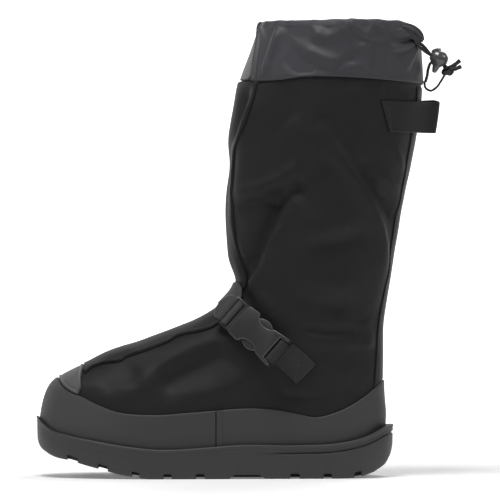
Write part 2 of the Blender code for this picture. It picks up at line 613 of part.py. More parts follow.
def make_pull_tab():
    """A tape folded into a loop: both legs are sewn to the shaft, and the fold stands out behind the heel."""

    def leg(side, ring, height, fold_x):
        """Plan points of one leg, from its sewn end to the fold."""
        distance = GAP + TAB_WALL / 2
        points = []
        for along in np.linspace(TAB_STARTS_AT, TAB_LEAVES_AT, 4):
            angle = math.acos(1 - 2 * along)
            points.append(upper_offset(side * angle, ring, distance)[0][:2])
        leave, before = points[-1], points[-2]
        direction = (leave - before) / np.linalg.norm(leave - before)
        fold = np.array([fold_x - TAB_WALL / 2 - TAB_FOLD_RADIUS, -side * TAB_FOLD_RADIUS])
        first = leave + direction * np.linalg.norm(fold - leave) * 0.45
        second = fold - np.array([TAB_FOLD_RADIUS, 0.0])
        for t in (0.3, 0.6, 0.85, 1.0):
            start_part = (1 - t) ** 3 * leave + 3 * t * (1 - t) ** 2 * first
            points.append(start_part + 3 * t * t * (1 - t) * second + t**3 * fold)
        return [np.array([*point, height]) for point in points]

    rows = []
    for height, fold_x in TAB_EDGES:
        ring = ring_at_height(np.array([math.pi * 0.75]), ((0, height), (300, height)), 14.0, 21.0)[0]
        near = leg(1, ring, height, fold_x)
        far = leg(-1, ring, height, fold_x)
        turn = []
        centre_x = fold_x - TAB_WALL / 2 - TAB_FOLD_RADIUS
        for step in (-45, 0, 45):
            angle = math.radians(step)
            forward, aside = TAB_FOLD_RADIUS * math.cos(angle), TAB_FOLD_RADIUS * math.sin(angle)
            turn.append(np.array([centre_x + forward, aside, height]))
        rows.append([*near, *turn, *reversed(far)])
    middle = [(low + high) / 2 for low, high in zip(*rows)]
    shape = bmesh.new()
    grid = [[shape.verts.new(point * MM) for point in row] for row in (rows[0], middle, rows[1])]
    for lower, upper in zip(grid, grid[1:]):
        for i in range(len(lower) - 1):
            shape.faces.new((lower[i], lower[i + 1], upper[i + 1], upper[i]))
    mesh = bpy.data.meshes.new("pull_tab")
    shape.to_mesh(mesh)
    shape.free()
    tab = add_object("pull_tab", mesh, material("tab_tape", (0.03, 0.03, 0.031), 0.6))
    wall = tab.modifiers.new("tape", "SOLIDIFY")
    wall.thickness = TAB_WALL * MM
    wall.offset = 0.0
    wall.use_even_offset = True


def cord(name, route, radius, finish):
    """A round cord through its route's points, along a smooth curve."""
    reach = np.concatenate([[0], np.cumsum(np.linalg.norm(np.diff(np.array(route), axis=0), axis=1))])
    count = max(6, round(reach[-1] / (radius * 4)))
    points = spline_weights(reach, np.linspace(0, reach[-1], count)) @ np.array(route)
    curve = bpy.data.curves.new(name, "CURVE")
    curve.dimensions = "3D"
    curve.bevel_depth = radius * MM
    curve.bevel_resolution = 2
    curve.use_fill_caps = True
    spline = curve.splines.new("POLY")
    spline.points.add(len(points) - 1)
    for point, place in zip(spline.points, points):
        point.co = (*(place * MM), 1)
    return add_object(name, curve, finish)


def solid_of_revolution(name, start, end, profile, finish):
    """A turned piece from start towards end. The profile's rows are distance from start and radius."""
    start, end = Vector(start), Vector(end)
    turned = bpy.data.meshes.new(name)
    shape = bmesh.new()
    verts = [shape.verts.new((radius * MM, 0, -along * MM)) for along, radius in profile]
    for first, second in zip(verts, verts[1:]):
        shape.edges.new((first, second))
    shape.to_mesh(turned)
    shape.free()
    thing = add_object(name, turned, finish)
    screw = thing.modifiers.new("turned", "SCREW")
    screw.steps = screw.render_steps = 14
    screw.use_merge_vertices = True
    screw.merge_threshold = 1e-5
    screw.use_smooth_shade = True
    direction = (end - start).normalized()
    turn = Vector((0, 0, -1)).rotation_difference(direction).to_matrix().to_4x4()
    thing.matrix_world = Matrix.Translation(start * MM) @ turn
    return thing


def sphere_rows(radius, squash=1.0, count=7):
    """Profile rows of a ball, from pole to pole."""
    steps = [math.pi * i / (count - 1) for i in range(count)]
    return [(radius * squash * (1 - math.cos(step)), max(radius * math.sin(step), 0.0)) for step in steps]


def make_drawcord():
    cord_finish = material("drawcord", (0.03, 0.03, 0.031), 0.8)
    lock_finish = material("cord_lock", (0.06, 0.06, 0.062), 0.35)
    cord("drawcord_near", DRAWCORD_NEAR, CORD_RADIUS, cord_finish)
    cord("drawcord_far", DRAWCORD_FAR, CORD_RADIUS, cord_finish)
    cord("tether_cord", TETHER_CORD, TETHER_RADIUS, cord_finish)
    cord("tether_tape", TETHER_TAPE, TAPE_RADIUS, cord_finish)

    centre, tip = Vector(LOCK_CENTRE), Vector(LOCK_TIP)
    down = (tip - centre).normalized()
    rows = [row for row in sphere_rows(LOCK_RADIUS, count=9)][:-2]
    reach = (tip - centre).length + LOCK_RADIUS
    rows += [(LOCK_RADIUS * 1.95, 3.2), (reach, 1.6), (reach, 0.0)]
    lock = solid_of_revolution("cord_lock", centre - down * LOCK_RADIUS, tip, rows, lock_finish)
    bore = box_cutter("cord_lock_bore", (-14, -3.4, -CORD_RADIUS - GAP), (14, 3.4, CORD_RADIUS + GAP))
    along = Vector(BORE_ALONG).normalized()
    side = Vector((0, 1, 0))
    turn = Matrix((along, side, along.cross(side))).transposed().to_4x4()
    bore.matrix_world = Matrix.Translation(Vector(BORE_CENTRE) * MM) @ turn
    boolean(lock, bore, "DIFFERENCE")

    button_end = Vector(BUTTON_END)
    outward = (button_end - centre).normalized()
    seat = centre + outward * (LOCK_RADIUS + GAP)
    length = (button_end - seat).length
    rows = [(0, 0), (0, 3.0), (length - 0.6, 3.0), (length, 2.2), (length, 0)]
    solid_of_revolution("cord_lock_button", seat, button_end, rows, lock_finish)

    knot_centre = Vector(KNOT_CENTRE)
    along = Vector(BORE_ALONG).normalized()
    knot = solid_of_revolution("cord_knot", knot_centre - along * KNOT_RADIUS * 0.9, knot_centre,
                               sphere_rows(KNOT_RADIUS, 0.9), cord_finish)  # fmt: skip
    for number, tail in enumerate(TAILS):
        start, end = (Vector(point) for point in tail)
        rows = [(0, 0), (0, TAIL_RADIUS), ((end - start).length, TAIL_RADIUS), ((end - start).length, 0)]
        cutter = solid_of_revolution(f"cord_tail_{number}", start, end, rows, None)
        boolean(knot, cutter, "UNION")


def evaluated_corners(things):
    graph = bpy.context.evaluated_depsgraph_get()
    corners = []
    for thing in things:
        shown = thing.evaluated_get(graph)
        mesh = shown.to_mesh()
        corners += [shown.matrix_world @ vertex.co for vertex in mesh.vertices]
        shown.to_mesh_clear()
    corners = np.array(corners)
    return corners.min(axis=0), corners.max(axis=0)


def centre_on_floor():
    """Moves everything so that the origin lies on the floor under the middle of the overshoe without its cords."""
    bpy.context.view_layer.update()
    on_cord = ("drawcord", "tether", "cord_")
    low, high = evaluated_corners([thing for thing in OVERSHOE.objects if not thing.name.startswith(on_cord)])
    shift = Matrix.Translation((-(low[0] + high[0]) / 2, -(low[1] + high[1]) / 2, -low[2]))
    for thing in (*OVERSHOE.objects, *CUTTERS.objects):
        thing.matrix_world = shift @ thing.matrix_world


for old in list(bpy.data.objects):
    bpy.data.objects.remove(old)
OVERSHOE = bpy.data.collections.new("winter_overshoe")
CUTTERS = bpy.data.collections.new("cutters")
for made in (OVERSHOE, CUTTERS):
    bpy.context.scene.collection.children.link(made)

make_upper()
make_rand()
make_toe_patch()
make_front_pleat()
make_cuff()
make_fastener()
make_strap()
make_anchor()
make_sole()
make_insole()
make_buckle()
make_pull_tab()
make_drawcord()
centre_on_floor()
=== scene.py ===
"""A tall winter overshoe for the left foot: nylon upper, rubber mudguard, cup sole, strap, buckle and drawcord cuff.

The tables are in millimetres, in the last's own frame: the toe points along -X, the outer side along -Y, +Z is up.
"""

import math

import bmesh
import bpy
import numpy as np
from mathutils import Matrix, Vector

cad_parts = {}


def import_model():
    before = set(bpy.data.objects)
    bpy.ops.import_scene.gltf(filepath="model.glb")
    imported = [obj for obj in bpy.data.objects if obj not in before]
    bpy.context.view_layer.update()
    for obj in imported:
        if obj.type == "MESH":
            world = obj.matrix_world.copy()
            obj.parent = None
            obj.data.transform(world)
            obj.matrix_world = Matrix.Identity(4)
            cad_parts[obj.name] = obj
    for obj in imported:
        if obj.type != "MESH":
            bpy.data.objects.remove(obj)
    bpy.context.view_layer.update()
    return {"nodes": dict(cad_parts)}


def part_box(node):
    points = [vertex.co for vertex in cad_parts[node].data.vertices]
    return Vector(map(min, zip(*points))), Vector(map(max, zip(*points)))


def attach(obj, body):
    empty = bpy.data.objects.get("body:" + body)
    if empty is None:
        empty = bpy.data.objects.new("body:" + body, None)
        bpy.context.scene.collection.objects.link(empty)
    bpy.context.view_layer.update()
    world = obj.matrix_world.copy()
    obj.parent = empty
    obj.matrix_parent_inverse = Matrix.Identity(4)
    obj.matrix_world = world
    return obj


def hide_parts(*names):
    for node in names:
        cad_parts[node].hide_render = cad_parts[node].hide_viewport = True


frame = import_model()
nodes = frame["nodes"]

# Camera
# The overshoe was photographed level from its outer side, from about four metres, with the lens at half its height.
MM = 0.001
TOE_FRONT = -153.4
ROW_SHIFT = np.array([
    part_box("upper")[0][0] / MM - TOE_FRONT,
    (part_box("pull_tab")[0][1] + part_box("pull_tab")[1][1]) / 2 / MM,
    0.0,
])  # fmt: skip
FRAME_HEIGHT = 440.0
CAMERA_AT = (30.8, -4045.0, 200.6)
NEAR_SIDE = -30.0


def in_row(points):
    """Points of the last's frame, in millimetres, as metres of the overshoe's frame."""
    return (np.asarray(points, float) + ROW_SHIFT) * MM


def linked(name, data):
    """A new object of the scene that holds the data."""
    made = bpy.data.objects.new(name, data)
    bpy.context.scene.collection.objects.link(made)
    return made


lens = bpy.data.cameras.new("camera")
lens.sensor_width = 36.0
lens.lens = lens.sensor_width * (NEAR_SIDE - CAMERA_AT[1]) / FRAME_HEIGHT
lens.clip_end = 50.0
camera = linked("camera", lens)
camera.location = in_row(CAMERA_AT)
camera.rotation_euler = (math.pi / 2, 0.0, 0.0)
bpy.context.scene.camera = camera
bpy.context.scene.view_settings.view_transform = "Standard"


# Drawcord and tether
# Two strands of braided elastic cord leave the cuff's channel, pass the spring lock and end in one knot, whose cut
# tails are melted. A thinner cord and a short loop tether the lock to the cuff's hem.
CORD_RADIUS = 1.4
DRAWCORD_NEAR = ((177.0, -27.6, 380.6), (181.6, -22.4, 378.6), (186.0, -15.2, 375.6), (190.6, -11.4, 373.0),
                 (196.9, -11.0, 368.3), (202.6, -11.0, 364.0))  # fmt: skip
DRAWCORD_FAR = ((177.4, -27.0, 384.0), (182.0, -21.4, 382.0), (186.6, -13.4, 378.0), (191.2, -8.1, 372.8),
                (196.9, -7.8, 368.3), (202.6, -7.8, 364.0))  # fmt: skip
TETHER_RADIUS = 1.0
TETHER_CORD = ((185.1, -6.2, 350.0), (186.3, -6.6, 344.0), (190.6, -7.2, 341.6), (195.4, -7.6, 344.2),
               (200.0, -8.4, 350.4), (203.4, -9.0, 356.2))  # fmt: skip
TAPE_RADIUS = 1.3
TETHER_TAPE = ((186.2, -2.4, 349.4), (187.6, -3.4, 354.6), (188.6, -6.0, 361.0), (190.4, -8.6, 365.6))
TAPE_END_IN_LOCK = (193.6, -9.2, 368.4)
CORD_RINGS = 60
KNOT_CENTRE = (206.3, -9.4, 361.2)
KNOT_RADIUS = 4.6
KNOT_STRAND = 1.9
KNOT_SAG = (-0.9, 0.0, -1.5)
KNOT_LEAN = (35.0, 50.0)  # degrees about y, then about x
TAIL_RADIUS = 1.7
TAILS = (((207.4, -9.2, 361.8), (212.0, -8.4, 364.6), (216.2, -8.0, 368.0)),
         ((207.6, -10.2, 360.6), (212.4, -11.6, 360.8), (217.0, -12.4, 362.6)))  # fmt: skip


class Field:
    """A number that varies over a surface. Arithmetic on fields adds Math nodes to their finish."""

    def __init__(self, finish, socket):
        self.finish = finish
        self.socket = socket

    def math(self, operation, *values):
        return self.finish.add("ShaderNodeMath", {"operation": operation}, *values)

    def __add__(self, other):
        return self.math("ADD", self, other)

    def __sub__(self, other):
        return self.math("SUBTRACT", self, other)

    def __rsub__(self, other):
        return self.math("SUBTRACT", other, self)

    def __mul__(self, other):
        return self.math("MULTIPLY", self, other)

    __radd__ = __add__
    __rmul__ = __mul__

    def sine(self):
        return self.math("SINE", self)

    def wave(self, length):
        """A sine wave of that length along the field, from -1 to 1."""
        return (self * (2 * math.pi / length)).sine()

    def size(self):
        return self.math("ABSOLUTE", self)

    def between(self, low, high):
        """0 below low and 1 above high, with a soft step between them."""
        settings = {"interpolation_type": "SMOOTHSTEP"}
        return self.finish.add("ShaderNodeMapRange", settings, self, low, high, 0.0, 1.0)


class Finish:
    """A material of one of the overshoe's own finishes, with its nodes."""

    def __init__(self, name, colour, roughness, **set_on_shader):
        self.material = bpy.data.materials.new(name)
        self.material.use_nodes = True
        self.material.diffuse_color = (*colour, 1.0)
        self.tree = self.material.node_tree
        self.shader = self.tree.nodes["Principled BSDF"]
        self.shader.inputs["Base Color"].default_value = (*colour, 1.0)
        self.shader.inputs["Roughness"].default_value = roughness
        for socket, value in set_on_shader.items():
            self.shader.inputs[socket.replace("_", " ")].default_value = value

    def add(self, kind, settings, *values, output=0):
        """A node of any kind: its settings first, then the values or fields of its sockets in order."""
        node = self.tree.nodes.new(kind)
        for name, value in settings.items():
            setattr(node, name, value)
        for socket, value in zip([slot for slot in node.inputs if slot.enabled], values):
            if isinstance(value, Field):
                self.tree.links.new(value.socket, socket)
            elif value is not None:
                socket.default_value = value
        return Field(self, node.outputs[output])

    def feed(self, socket, field):
        self.tree.links.new(field.socket, self.shader.inputs[socket])

    def parts(self, at, count):
        """The first numbers of a field that holds a point."""
        split = self.tree.nodes.new("ShaderNodeSeparateXYZ")
        self.tree.links.new(at.socket, split.inputs[0])
        return [Field(self, split.outputs[axis]) for axis in range(count)]

    def place(self):
        """The point of the object itself, in millimetres, as three fields."""
        return [part * (1 / MM) for part in self.parts(self.add("ShaderNodeTexCoord", {}, output=3), 3)]

    def cloth_place(self):
        """How far a point is across and along its piece, in millimetres, from the piece's own UV map."""
        return self.parts(self.add("ShaderNodeUVMap", {"uv_map": "lengths"}), 2)

    def noise(self, size, detail=2.0, roughness=0.5):
        """Soft cloudy values about 0.5, with lumps about that many millimetres across."""
        at = self.add("ShaderNodeTexCoord", {}, output=3)
        return self.add("ShaderNodeTexNoise", {}, at, None, 1 / (size * MM), detail, roughness)

    def colour_between(self, share, low, high):
        made = self.add("ShaderNodeMix", {"data_type": "RGBA"}, share, (*low, 1.0), (*high, 1.0), output=2)
        self.feed("Base Color", made)

    def raise_by(self, height, distance):
        """Relief by bump: the height field runs from 0 to 1, and the distance is its full height in millimetres."""
        made = self.add("ShaderNodeBump", {}, 1.0, distance * MM)
        self.tree.links.new(height.socket, made.socket.node.inputs["Height"])
        self.feed("Normal", made)


def spline_weights(stations, at):
    """Weights that turn the values at the stations into a smooth curve's values at the given places."""
    stations = np.asarray(stations, float)
    at = np.clip(np.ravel(np.asarray(at, float)), stations[0], stations[-1])
    count = len(stations)
    step = np.diff(stations)
    secant = np.zeros((count - 1, count))
    for i in range(count - 1):
        secant[i, i] = -1 / step[i]
        secant[i, i + 1] = 1 / step[i]
    slope = np.zeros((count, count))
    slope[0] = secant[0]
    slope[-1] = secant[-1]
    for i in range(1, count - 1):
        slope[i] = (step[i] * secant[i - 1] + step[i - 1] * secant[i]) / (step[i - 1] + step[i])
    low = np.clip(np.searchsorted(stations, at, side="right") - 1, 0, count - 2)
    width = step[low][:, None]
    t = ((at - stations[low]) / step[low])[:, None]
    value = np.eye(count)
    return (
        (2 * t**3 - 3 * t**2 + 1) * value[low]
        + (t**3 - 2 * t**2 + t) * width * slope[low]
        + (3 * t**2 - 2 * t**3) * value[low + 1]
        + (t**3 - t**2) * width * slope[low + 1]
    )


def line_at(table, at):
    """The smooth curve through a table of (place, value) rows."""
    places, values = zip(*table)
    return spline_weights(places, at) @ np.array(values, float)


def smooth_route(points, count):
    """Evenly spread points on one smooth curve through a route's points, and its length."""
    points = np.asarray(points, float)
    reach = np.concatenate([[0], np.cumsum(np.linalg.norm(np.diff(points, axis=0), axis=1))])
    fine = spline_weights(reach, np.linspace(0, reach[-1], 400)) @ points
    run = np.concatenate([[0], np.cumsum(np.linalg.norm(np.diff(fine, axis=0), axis=1))])
    even = np.linspace(0, run[-1], count)
    return np.column_stack([np.interp(even, run, fine[:, axis]) for axis in range(3)]), run[-1]


def lengths_along(grid, around):
    """How far each row and column of a grid of points lies from the first, in millimetres."""
    rolled = np.concatenate([grid, grid[:, :1]], axis=1) if around else grid
    across = np.linalg.norm(np.diff(rolled, axis=1), axis=2).mean(axis=0)
    along = np.linalg.norm(np.diff(grid, axis=0), axis=2).mean(axis=1)
    return np.concatenate([[0], np.cumsum(across)]), np.concatenate([[0], np.cumsum(along)])


def skin(name, grid, finish, around=True, closed="rungs", inner=None, sharp=50.0):
    """A closed piece from a grid of points, row by row.

    Around joins each row's ends. Closed says how the piece shuts: "rungs" or "fans" fill the first and last rows, and
    "inner" turns back along an inner grid of as many columns. Its UV map holds lengths across and along in millimetres.
    """
    grid = np.asarray(grid, float)
    across, along = lengths_along(grid, around)
    rows, columns = grid.shape[:2]
    points = grid
    if inner is not None:
        inner = np.asarray(inner, float)[::-1]
        back = lengths_along(inner, around)[1]
        along = np.concatenate([along, along[-1] + 1.0 + back])
        points = np.concatenate([grid, inner])
    total = len(points)
    index = np.arange(total * columns).reshape(total, columns)
    next_column = np.roll(index, -1, axis=1)
    width = columns if around else columns - 1
    low, high = index[:-1, :width], index[1:, :width]
    low_next, high_next = next_column[:-1, :width], next_column[1:, :width]
    faces = np.stack([low, low_next, high_next, high], axis=-1).reshape(-1, 4)
    row_at = np.repeat(np.arange(total - 1), width)
    column_at = np.tile(np.arange(width), total - 1)
    u = np.stack([across[column_at], across[column_at + 1], across[column_at + 1], across[column_at]], axis=1)
    v = np.stack([along[row_at], along[row_at], along[row_at + 1], along[row_at + 1]], axis=1)
    faces, uvs = faces.tolist(), np.stack([u, v], axis=-1).tolist()
    if inner is not None:
        for i in range(width):
            j = (i + 1) % columns
            faces.append([index[-1, i], index[-1, j], index[0, j], index[0, i]])
            uvs.append([(across[i], -1.0), (across[i + 1], -1.0), (across[i + 1], 0.0), (across[i], 0.0)])
        if not around:
            count = min(rows, len(inner))
            for column in (0, columns - 1):
                out_rows = np.linspace(0, rows - 1, count).round().astype(int)
                for a, b in zip(range(count - 1), range(1, count)):
                    outer = index[out_rows[a] : out_rows[b] + 1, column].tolist()
                    faces.append([*outer, index[total - 1 - b, column], index[total - 1 - a, column]])
                    uvs.append([(across[column], along[out_rows[a]])] * len(faces[-1]))
    elif closed == "rungs":
        for loop in (index[0], index[-1]):
            for i in range(columns // 2):
                corners = dict.fromkeys((loop[i], loop[i + 1], loop[columns - i - 1], loop[-i]))
                faces.append(list(corners))
                uvs.append([(grid.reshape(-1, 3)[c][0], grid.reshape(-1, 3)[c][1]) for c in corners])
    elif closed == "fans":
        for loop in (index[0], index[-1]):
            faces.append(loop.tolist())
            uvs.append([(0.0, 0.0)] * columns)
    mesh = bpy.data.meshes.new(name)
    mesh.from_pydata(in_row(points.reshape(-1, 3)), [], [[int(corner) for corner in face] for face in faces])
    layer = mesh.uv_layers.new(name="lengths")
    layer.data.foreach_set("uv", np.array([pair for face in uvs for pair in face], np.float32).ravel())
    return finished(name, mesh, finish, sharp)


def finished(name, mesh, finish, sharp=50.0):
    """Points a closed mesh's faces outwards, shades it, and makes it a piece that rides on the overshoe."""
    shape = bmesh.new()
    shape.from_mesh(mesh)
    bmesh.ops.recalc_face_normals(shape, faces=shape.faces)
    if shape.calc_volume(signed=True) < 0:
        bmesh.ops.reverse_faces(shape, faces=shape.faces)
    shape.to_mesh(mesh)
    shape.free()
    mesh.shade_smooth()
    mesh.set_sharp_from_angle(angle=math.radians(sharp))
    mesh.materials.append(finish.material)
    piece = linked(name, mesh)
    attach(piece, "root")
    return piece


def tube_grid(points, radius, sides):
    """Rings of points round a route, turned as little as the route allows."""
    points = np.asarray(points, float)
    radius = np.broadcast_to(radius, len(points))
    tangent = np.gradient(points, axis=0)
    tangent /= np.linalg.norm(tangent, axis=1)[:, None]
    side = np.cross(tangent[0], (0.3, 0.2, 1.0))
    turn = 2 * math.pi * np.arange(sides) / sides
    rings = []
    for point, direction, thick in zip(points, tangent, radius):
        side = side - direction * np.dot(side, direction)
        side /= np.linalg.norm(side)
        other = np.cross(direction, side)
        rings.append(point + thick * (np.outer(np.cos(turn), side) + np.outer(np.sin(turn), other)))
    return np.array(rings)


def braided(name, colour, pitch, across):
    """Braided cord: two sets of strands cross over each other along its length."""
    finish = Finish(name, colour, 0.75)
    u, v = finish.cloth_place()
    left = (u * (2 * math.pi / across) + v * (2 * math.pi / pitch)).sine()
    right = (u * (2 * math.pi / across) - v * (2 * math.pi / pitch)).sine()
    weave = (left * right).between(-0.6, 0.9)
    finish.colour_between(weave, [value * 0.45 for value in colour], [value * 1.6 for value in colour])
    finish.raise_by(weave, 0.3)
    return finish


drawcord_finish = braided("drawcord_braid", (0.024, 0.024, 0.025), 2.2, 2.2)
cord_pieces = {}
for name, route, radius in (
    ("drawcord_near", DRAWCORD_NEAR, CORD_RADIUS),
    ("drawcord_far", DRAWCORD_FAR, CORD_RADIUS),
    ("tether_cord", TETHER_CORD, TETHER_RADIUS),
    ("tether_tape", (*TETHER_TAPE, TAPE_END_IN_LOCK), TAPE_RADIUS),
):
    points, length = smooth_route(route, CORD_RINGS)
    piece = skin(f"{name}_braid", tube_grid(points, radius, 16), drawcord_finish, closed="fans")
    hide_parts(name)
    cord_pieces[name] = (piece, points, length)

# The knot
# One strand turns round the other and through its own loop. The tails stand out of it with melted, paler ends.
turn = np.linspace(0, 2 * math.pi, 90, endpoint=False)
knot_path = np.column_stack([
    np.sin(turn) + 2 * np.sin(2 * turn), np.cos(turn) - 2 * np.cos(2 * turn), -1.25 * np.sin(3 * turn),
])  # fmt: skip
lean_y, lean_x = (math.radians(degrees) for degrees in KNOT_LEAN)
knot_turn = np.array(Matrix.Rotation(lean_y, 3, "Y") @ Matrix.Rotation(lean_x, 3, "X"))
knot_path = knot_path / 3.0 * KNOT_RADIUS @ knot_turn.T + np.array(KNOT_CENTRE) + np.array(KNOT_SAG)
closed_path = np.concatenate([knot_path, knot_path[:1]])
knot_grid = tube_grid(closed_path, KNOT_STRAND, 12)
knot_grid[-1] = knot_grid[0]
knot = skin("knot_braid", knot_grid[:-4], drawcord_finish, closed="fans")
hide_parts("cord_knot")
melted = Finish("melted_cord_end", (0.09, 0.09, 0.093), 0.35)
melted.raise_by(melted.noise(0.5), 0.2)
for number, tail in enumerate(TAILS):
    points, _ = smooth_route(tail, 24)
    swell = TAIL_RADIUS * (1 + 0.16 * np.sin(np.linspace(0, 9, 24)) ** 2)
    strand = skin(f"knot_tail_{number}", tube_grid(points, swell, 14), drawcord_finish, closed="fans")
    step = points[-1] - points[-3]
    step /= np.linalg.norm(step)
    end_points = np.array([points[-1] + step * along for along in (-0.2, 0.35, 0.7, 0.85)])
    end = skin(f"tail_end_{number}", tube_grid(end_points, [1.9, 2.0, 1.6, 0.8], 14), melted, closed="fans")

# The cord lock
# A glossy moulded ball with a spring inside: its button is pressed to slide it along both strands. It narrows to a
# neck below, and a seam and a ring of grip ribs run round it.
LOCK_CENTRE = np.array((197.8, -9.4, 369.8))
LOCK_RADIUS = 7.6
LOCK_TIP = np.array((193.4, -9.4, 357.4))
BUTTON_END = np.array((194.6, -9.4, 380.0))
BORE_CENTRE = np.array((196.9, -9.4, 368.3))
BORE_ALONG = np.array((0.8, 0.0, -0.6))
BUTTON_SUNK = 1.6
BUTTON_SHORT = 1.2
LOCK_ROWS = (
    # distance from the ball's top, radius
    (0.0, 0.05), (0.1, 1.2), (0.45, 2.7), (0.75, 3.5), (0.78, 4.2), (1.3, 5.1), (2.6, 6.5), (4.4, 7.8), (6.2, 8.2),
    (7.1, 8.3), (7.3, 7.95), (7.9, 7.95), (8.1, 8.3), (9.4, 8.05), (11.2, 7.1), (12.8, 5.6), (14.0, 4.2),
    (15.2, 3.2), (17.0, 2.9), (19.0, 2.3), (20.4, 1.7), (20.76, 1.1), (20.8, 0.05),
)  # fmt: skip

lock_finish = Finish("cord_lock_plastic", (0.075, 0.075, 0.078), 0.24, Coat_Weight=0.35, Coat_Roughness=0.12)
lock_finish.raise_by(lock_finish.noise(3.0, 3.0), 0.12)


def cut_by(piece, cutters):
    for cutter in cutters:
        cut = piece.modifiers.new("cut", "BOOLEAN")
        cut.object = cutter
        cut.solver = "EXACT"


def applied(piece, sharp, cutters=()):
    """Applies a piece's modifiers to its mesh, and removes the helper solids that cut it."""
    made = bpy.data.meshes.new_from_object(piece.evaluated_get(bpy.context.evaluated_depsgraph_get()))
    piece.modifiers.clear()
    piece.data = made
    made.set_sharp_from_angle(angle=math.radians(sharp))
    for cutter in cutters:
        bpy.data.objects.remove(cutter)
    return made


def turned(name, start, end, rows, finish, ribs=0, sides=56):
    """A round piece from start towards end, with shallow ribs round its widest part where ribs are given."""
    direction = (end - start) / np.linalg.norm(end - start)
    side = np.cross(direction, (0.0, 1.0, 0.0))
    side /= np.linalg.norm(side)
    other = np.cross(direction, side)
    angle = 2 * math.pi * np.arange(sides) / sides
    widest = max(radius for _, radius in rows)
    loops = []
    for along, radius in rows:
        lift = 1 + 0.03 * np.cos(ribs * angle) * (radius > 0.9 * widest) * (ribs > 0)
        ring = np.outer(np.cos(angle) * radius * lift, side) + np.outer(np.sin(angle) * radius * lift, other)
        loops.append(start + direction * along + ring)
    return skin(name, loops, finish, closed="fans", sharp=35.0)


down = (LOCK_TIP - LOCK_CENTRE) / np.linalg.norm(LOCK_TIP - LOCK_CENTRE)
lock = turned("lock_ball", LOCK_CENTRE - down * LOCK_RADIUS, LOCK_TIP, LOCK_ROWS, lock_finish, ribs=14)
bore_points = np.array([BORE_CENTRE - BORE_ALONG * 14, BORE_CENTRE + BORE_ALONG * 14])
bore = skin("lock_bore", [
    end + np.outer(3.3 * np.cos(turn[::5]), (0, 1, 0)) + np.outer(1.75 * np.sin(turn[::5]), (0.6, 0, 0.8))
    for end in bore_points
], lock_finish, closed="fans")  # fmt: skip
cut_by(lock, [bore])
applied(lock, 35.0, [bore])
button_way = (BUTTON_END - LOCK_CENTRE) / np.linalg.norm(BUTTON_END - LOCK_CENTRE)
seat = LOCK_CENTRE + button_way * (LOCK_RADIUS - BUTTON_SUNK)
reach = np.linalg.norm(BUTTON_END - seat) - BUTTON_SHORT
button_rows = (
    (0.0, 0.05), (0.02, 4.0), (0.3, 4.5), (reach - 1.1, 4.4), (reach - 0.5, 3.8), (reach, 2.4), (reach + 0.05, 0.05),
)  # fmt: skip
button = turned("lock_button", seat, BUTTON_END, button_rows, lock_finish, sides=36)
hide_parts("cord_lock")
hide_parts("cord_lock_button")

near, near_points, near_length = cord_pieces["drawcord_near"]
far, far_points, far_length = cord_pieces["drawcord_far"]
tether, tether_points, tether_length = cord_pieces["tether_cord"]
near_length * MM  # fmt: skip
far_length * MM  # fmt: skip
tether_length * MM  # fmt: skip


# Stage
# A white sweep stands behind and under the overshoe, with soft lights over it, in front and to both sides.
SWEEP_LINE = ((-6.0, 0.0), (6.2, 0.0), (6.8, 0.07), (7.2, 0.3), (7.45, 0.7), (7.5, 5.0))
SWEEP_HALF_WIDTH = 8.0
FLOOR_GLOW = 0.16
GLOW_GROWS = (500.0, 1500.0)
ROOM_LIGHT = 0.1
SOFT_LIGHTS = (
    # place in metres, point it faces, its size, its power
    ((-0.25, -0.5, 1.7), (0.0, 0.0, 0.15), 0.7, 21.0),
    ((-1.5, -0.3, 1.1), (0.0, 0.0, 0.15), 0.6, 2.2),
    ((1.4, -0.5, 1.1), (0.05, 0.0, 0.2), 0.5, 4.0),
    ((0.5, 1.0, 1.5), (0.05, 0.0, 0.2), 0.9, 10.0),
)

sweep_mesh = bpy.data.meshes.new("sweep")
sweep_points, sweep_faces = [], []
route, _ = smooth_route([(0.0, y, z) for y, z in SWEEP_LINE], 48)
for _, y, z in route:
    sweep_points += [(-SWEEP_HALF_WIDTH, y, z), (SWEEP_HALF_WIDTH, y, z)]
for row in range(len(route) - 1):
    sweep_faces.append((2 * row, 2 * row + 1, 2 * row + 3, 2 * row + 2))
sweep_mesh.from_pydata([(x, y, max(z, 0.0)) for x, y, z in sweep_points], [], sweep_faces)
sweep_mesh.shade_smooth()
sweep_finish = Finish("white_sweep", (0.92, 0.92, 0.92), 0.9, Emission_Strength=1.0)
_, back, _ = sweep_finish.place()
sweep_finish.feed("Emission Color", back.between(*GLOW_GROWS) * (1.0 - FLOOR_GLOW) + FLOOR_GLOW)
sweep_mesh.materials.append(sweep_finish.material)
sweep = linked("sweep", sweep_mesh)
for number, (place, faces, size, power) in enumerate(SOFT_LIGHTS):
    light = bpy.data.lights.new(f"soft_light_{number}", "AREA")
    light.shape = "DISK"
    light.size = size
    light.energy = power
    lamp = linked(f"soft_light_{number}", light)
    lamp.location = place
    lamp.rotation_euler = (Vector(faces) - Vector(place)).to_track_quat("-Z", "Y").to_euler()
surroundings = bpy.data.worlds.new("white_room")
surroundings.use_nodes = True
room = surroundings.node_tree.nodes["Background"]
room.inputs["Color"].default_value = (1.0, 1.0, 1.0, 1.0)
room.inputs["Strength"].default_value = ROOM_LIGHT
bpy.context.scene.world = surroundings


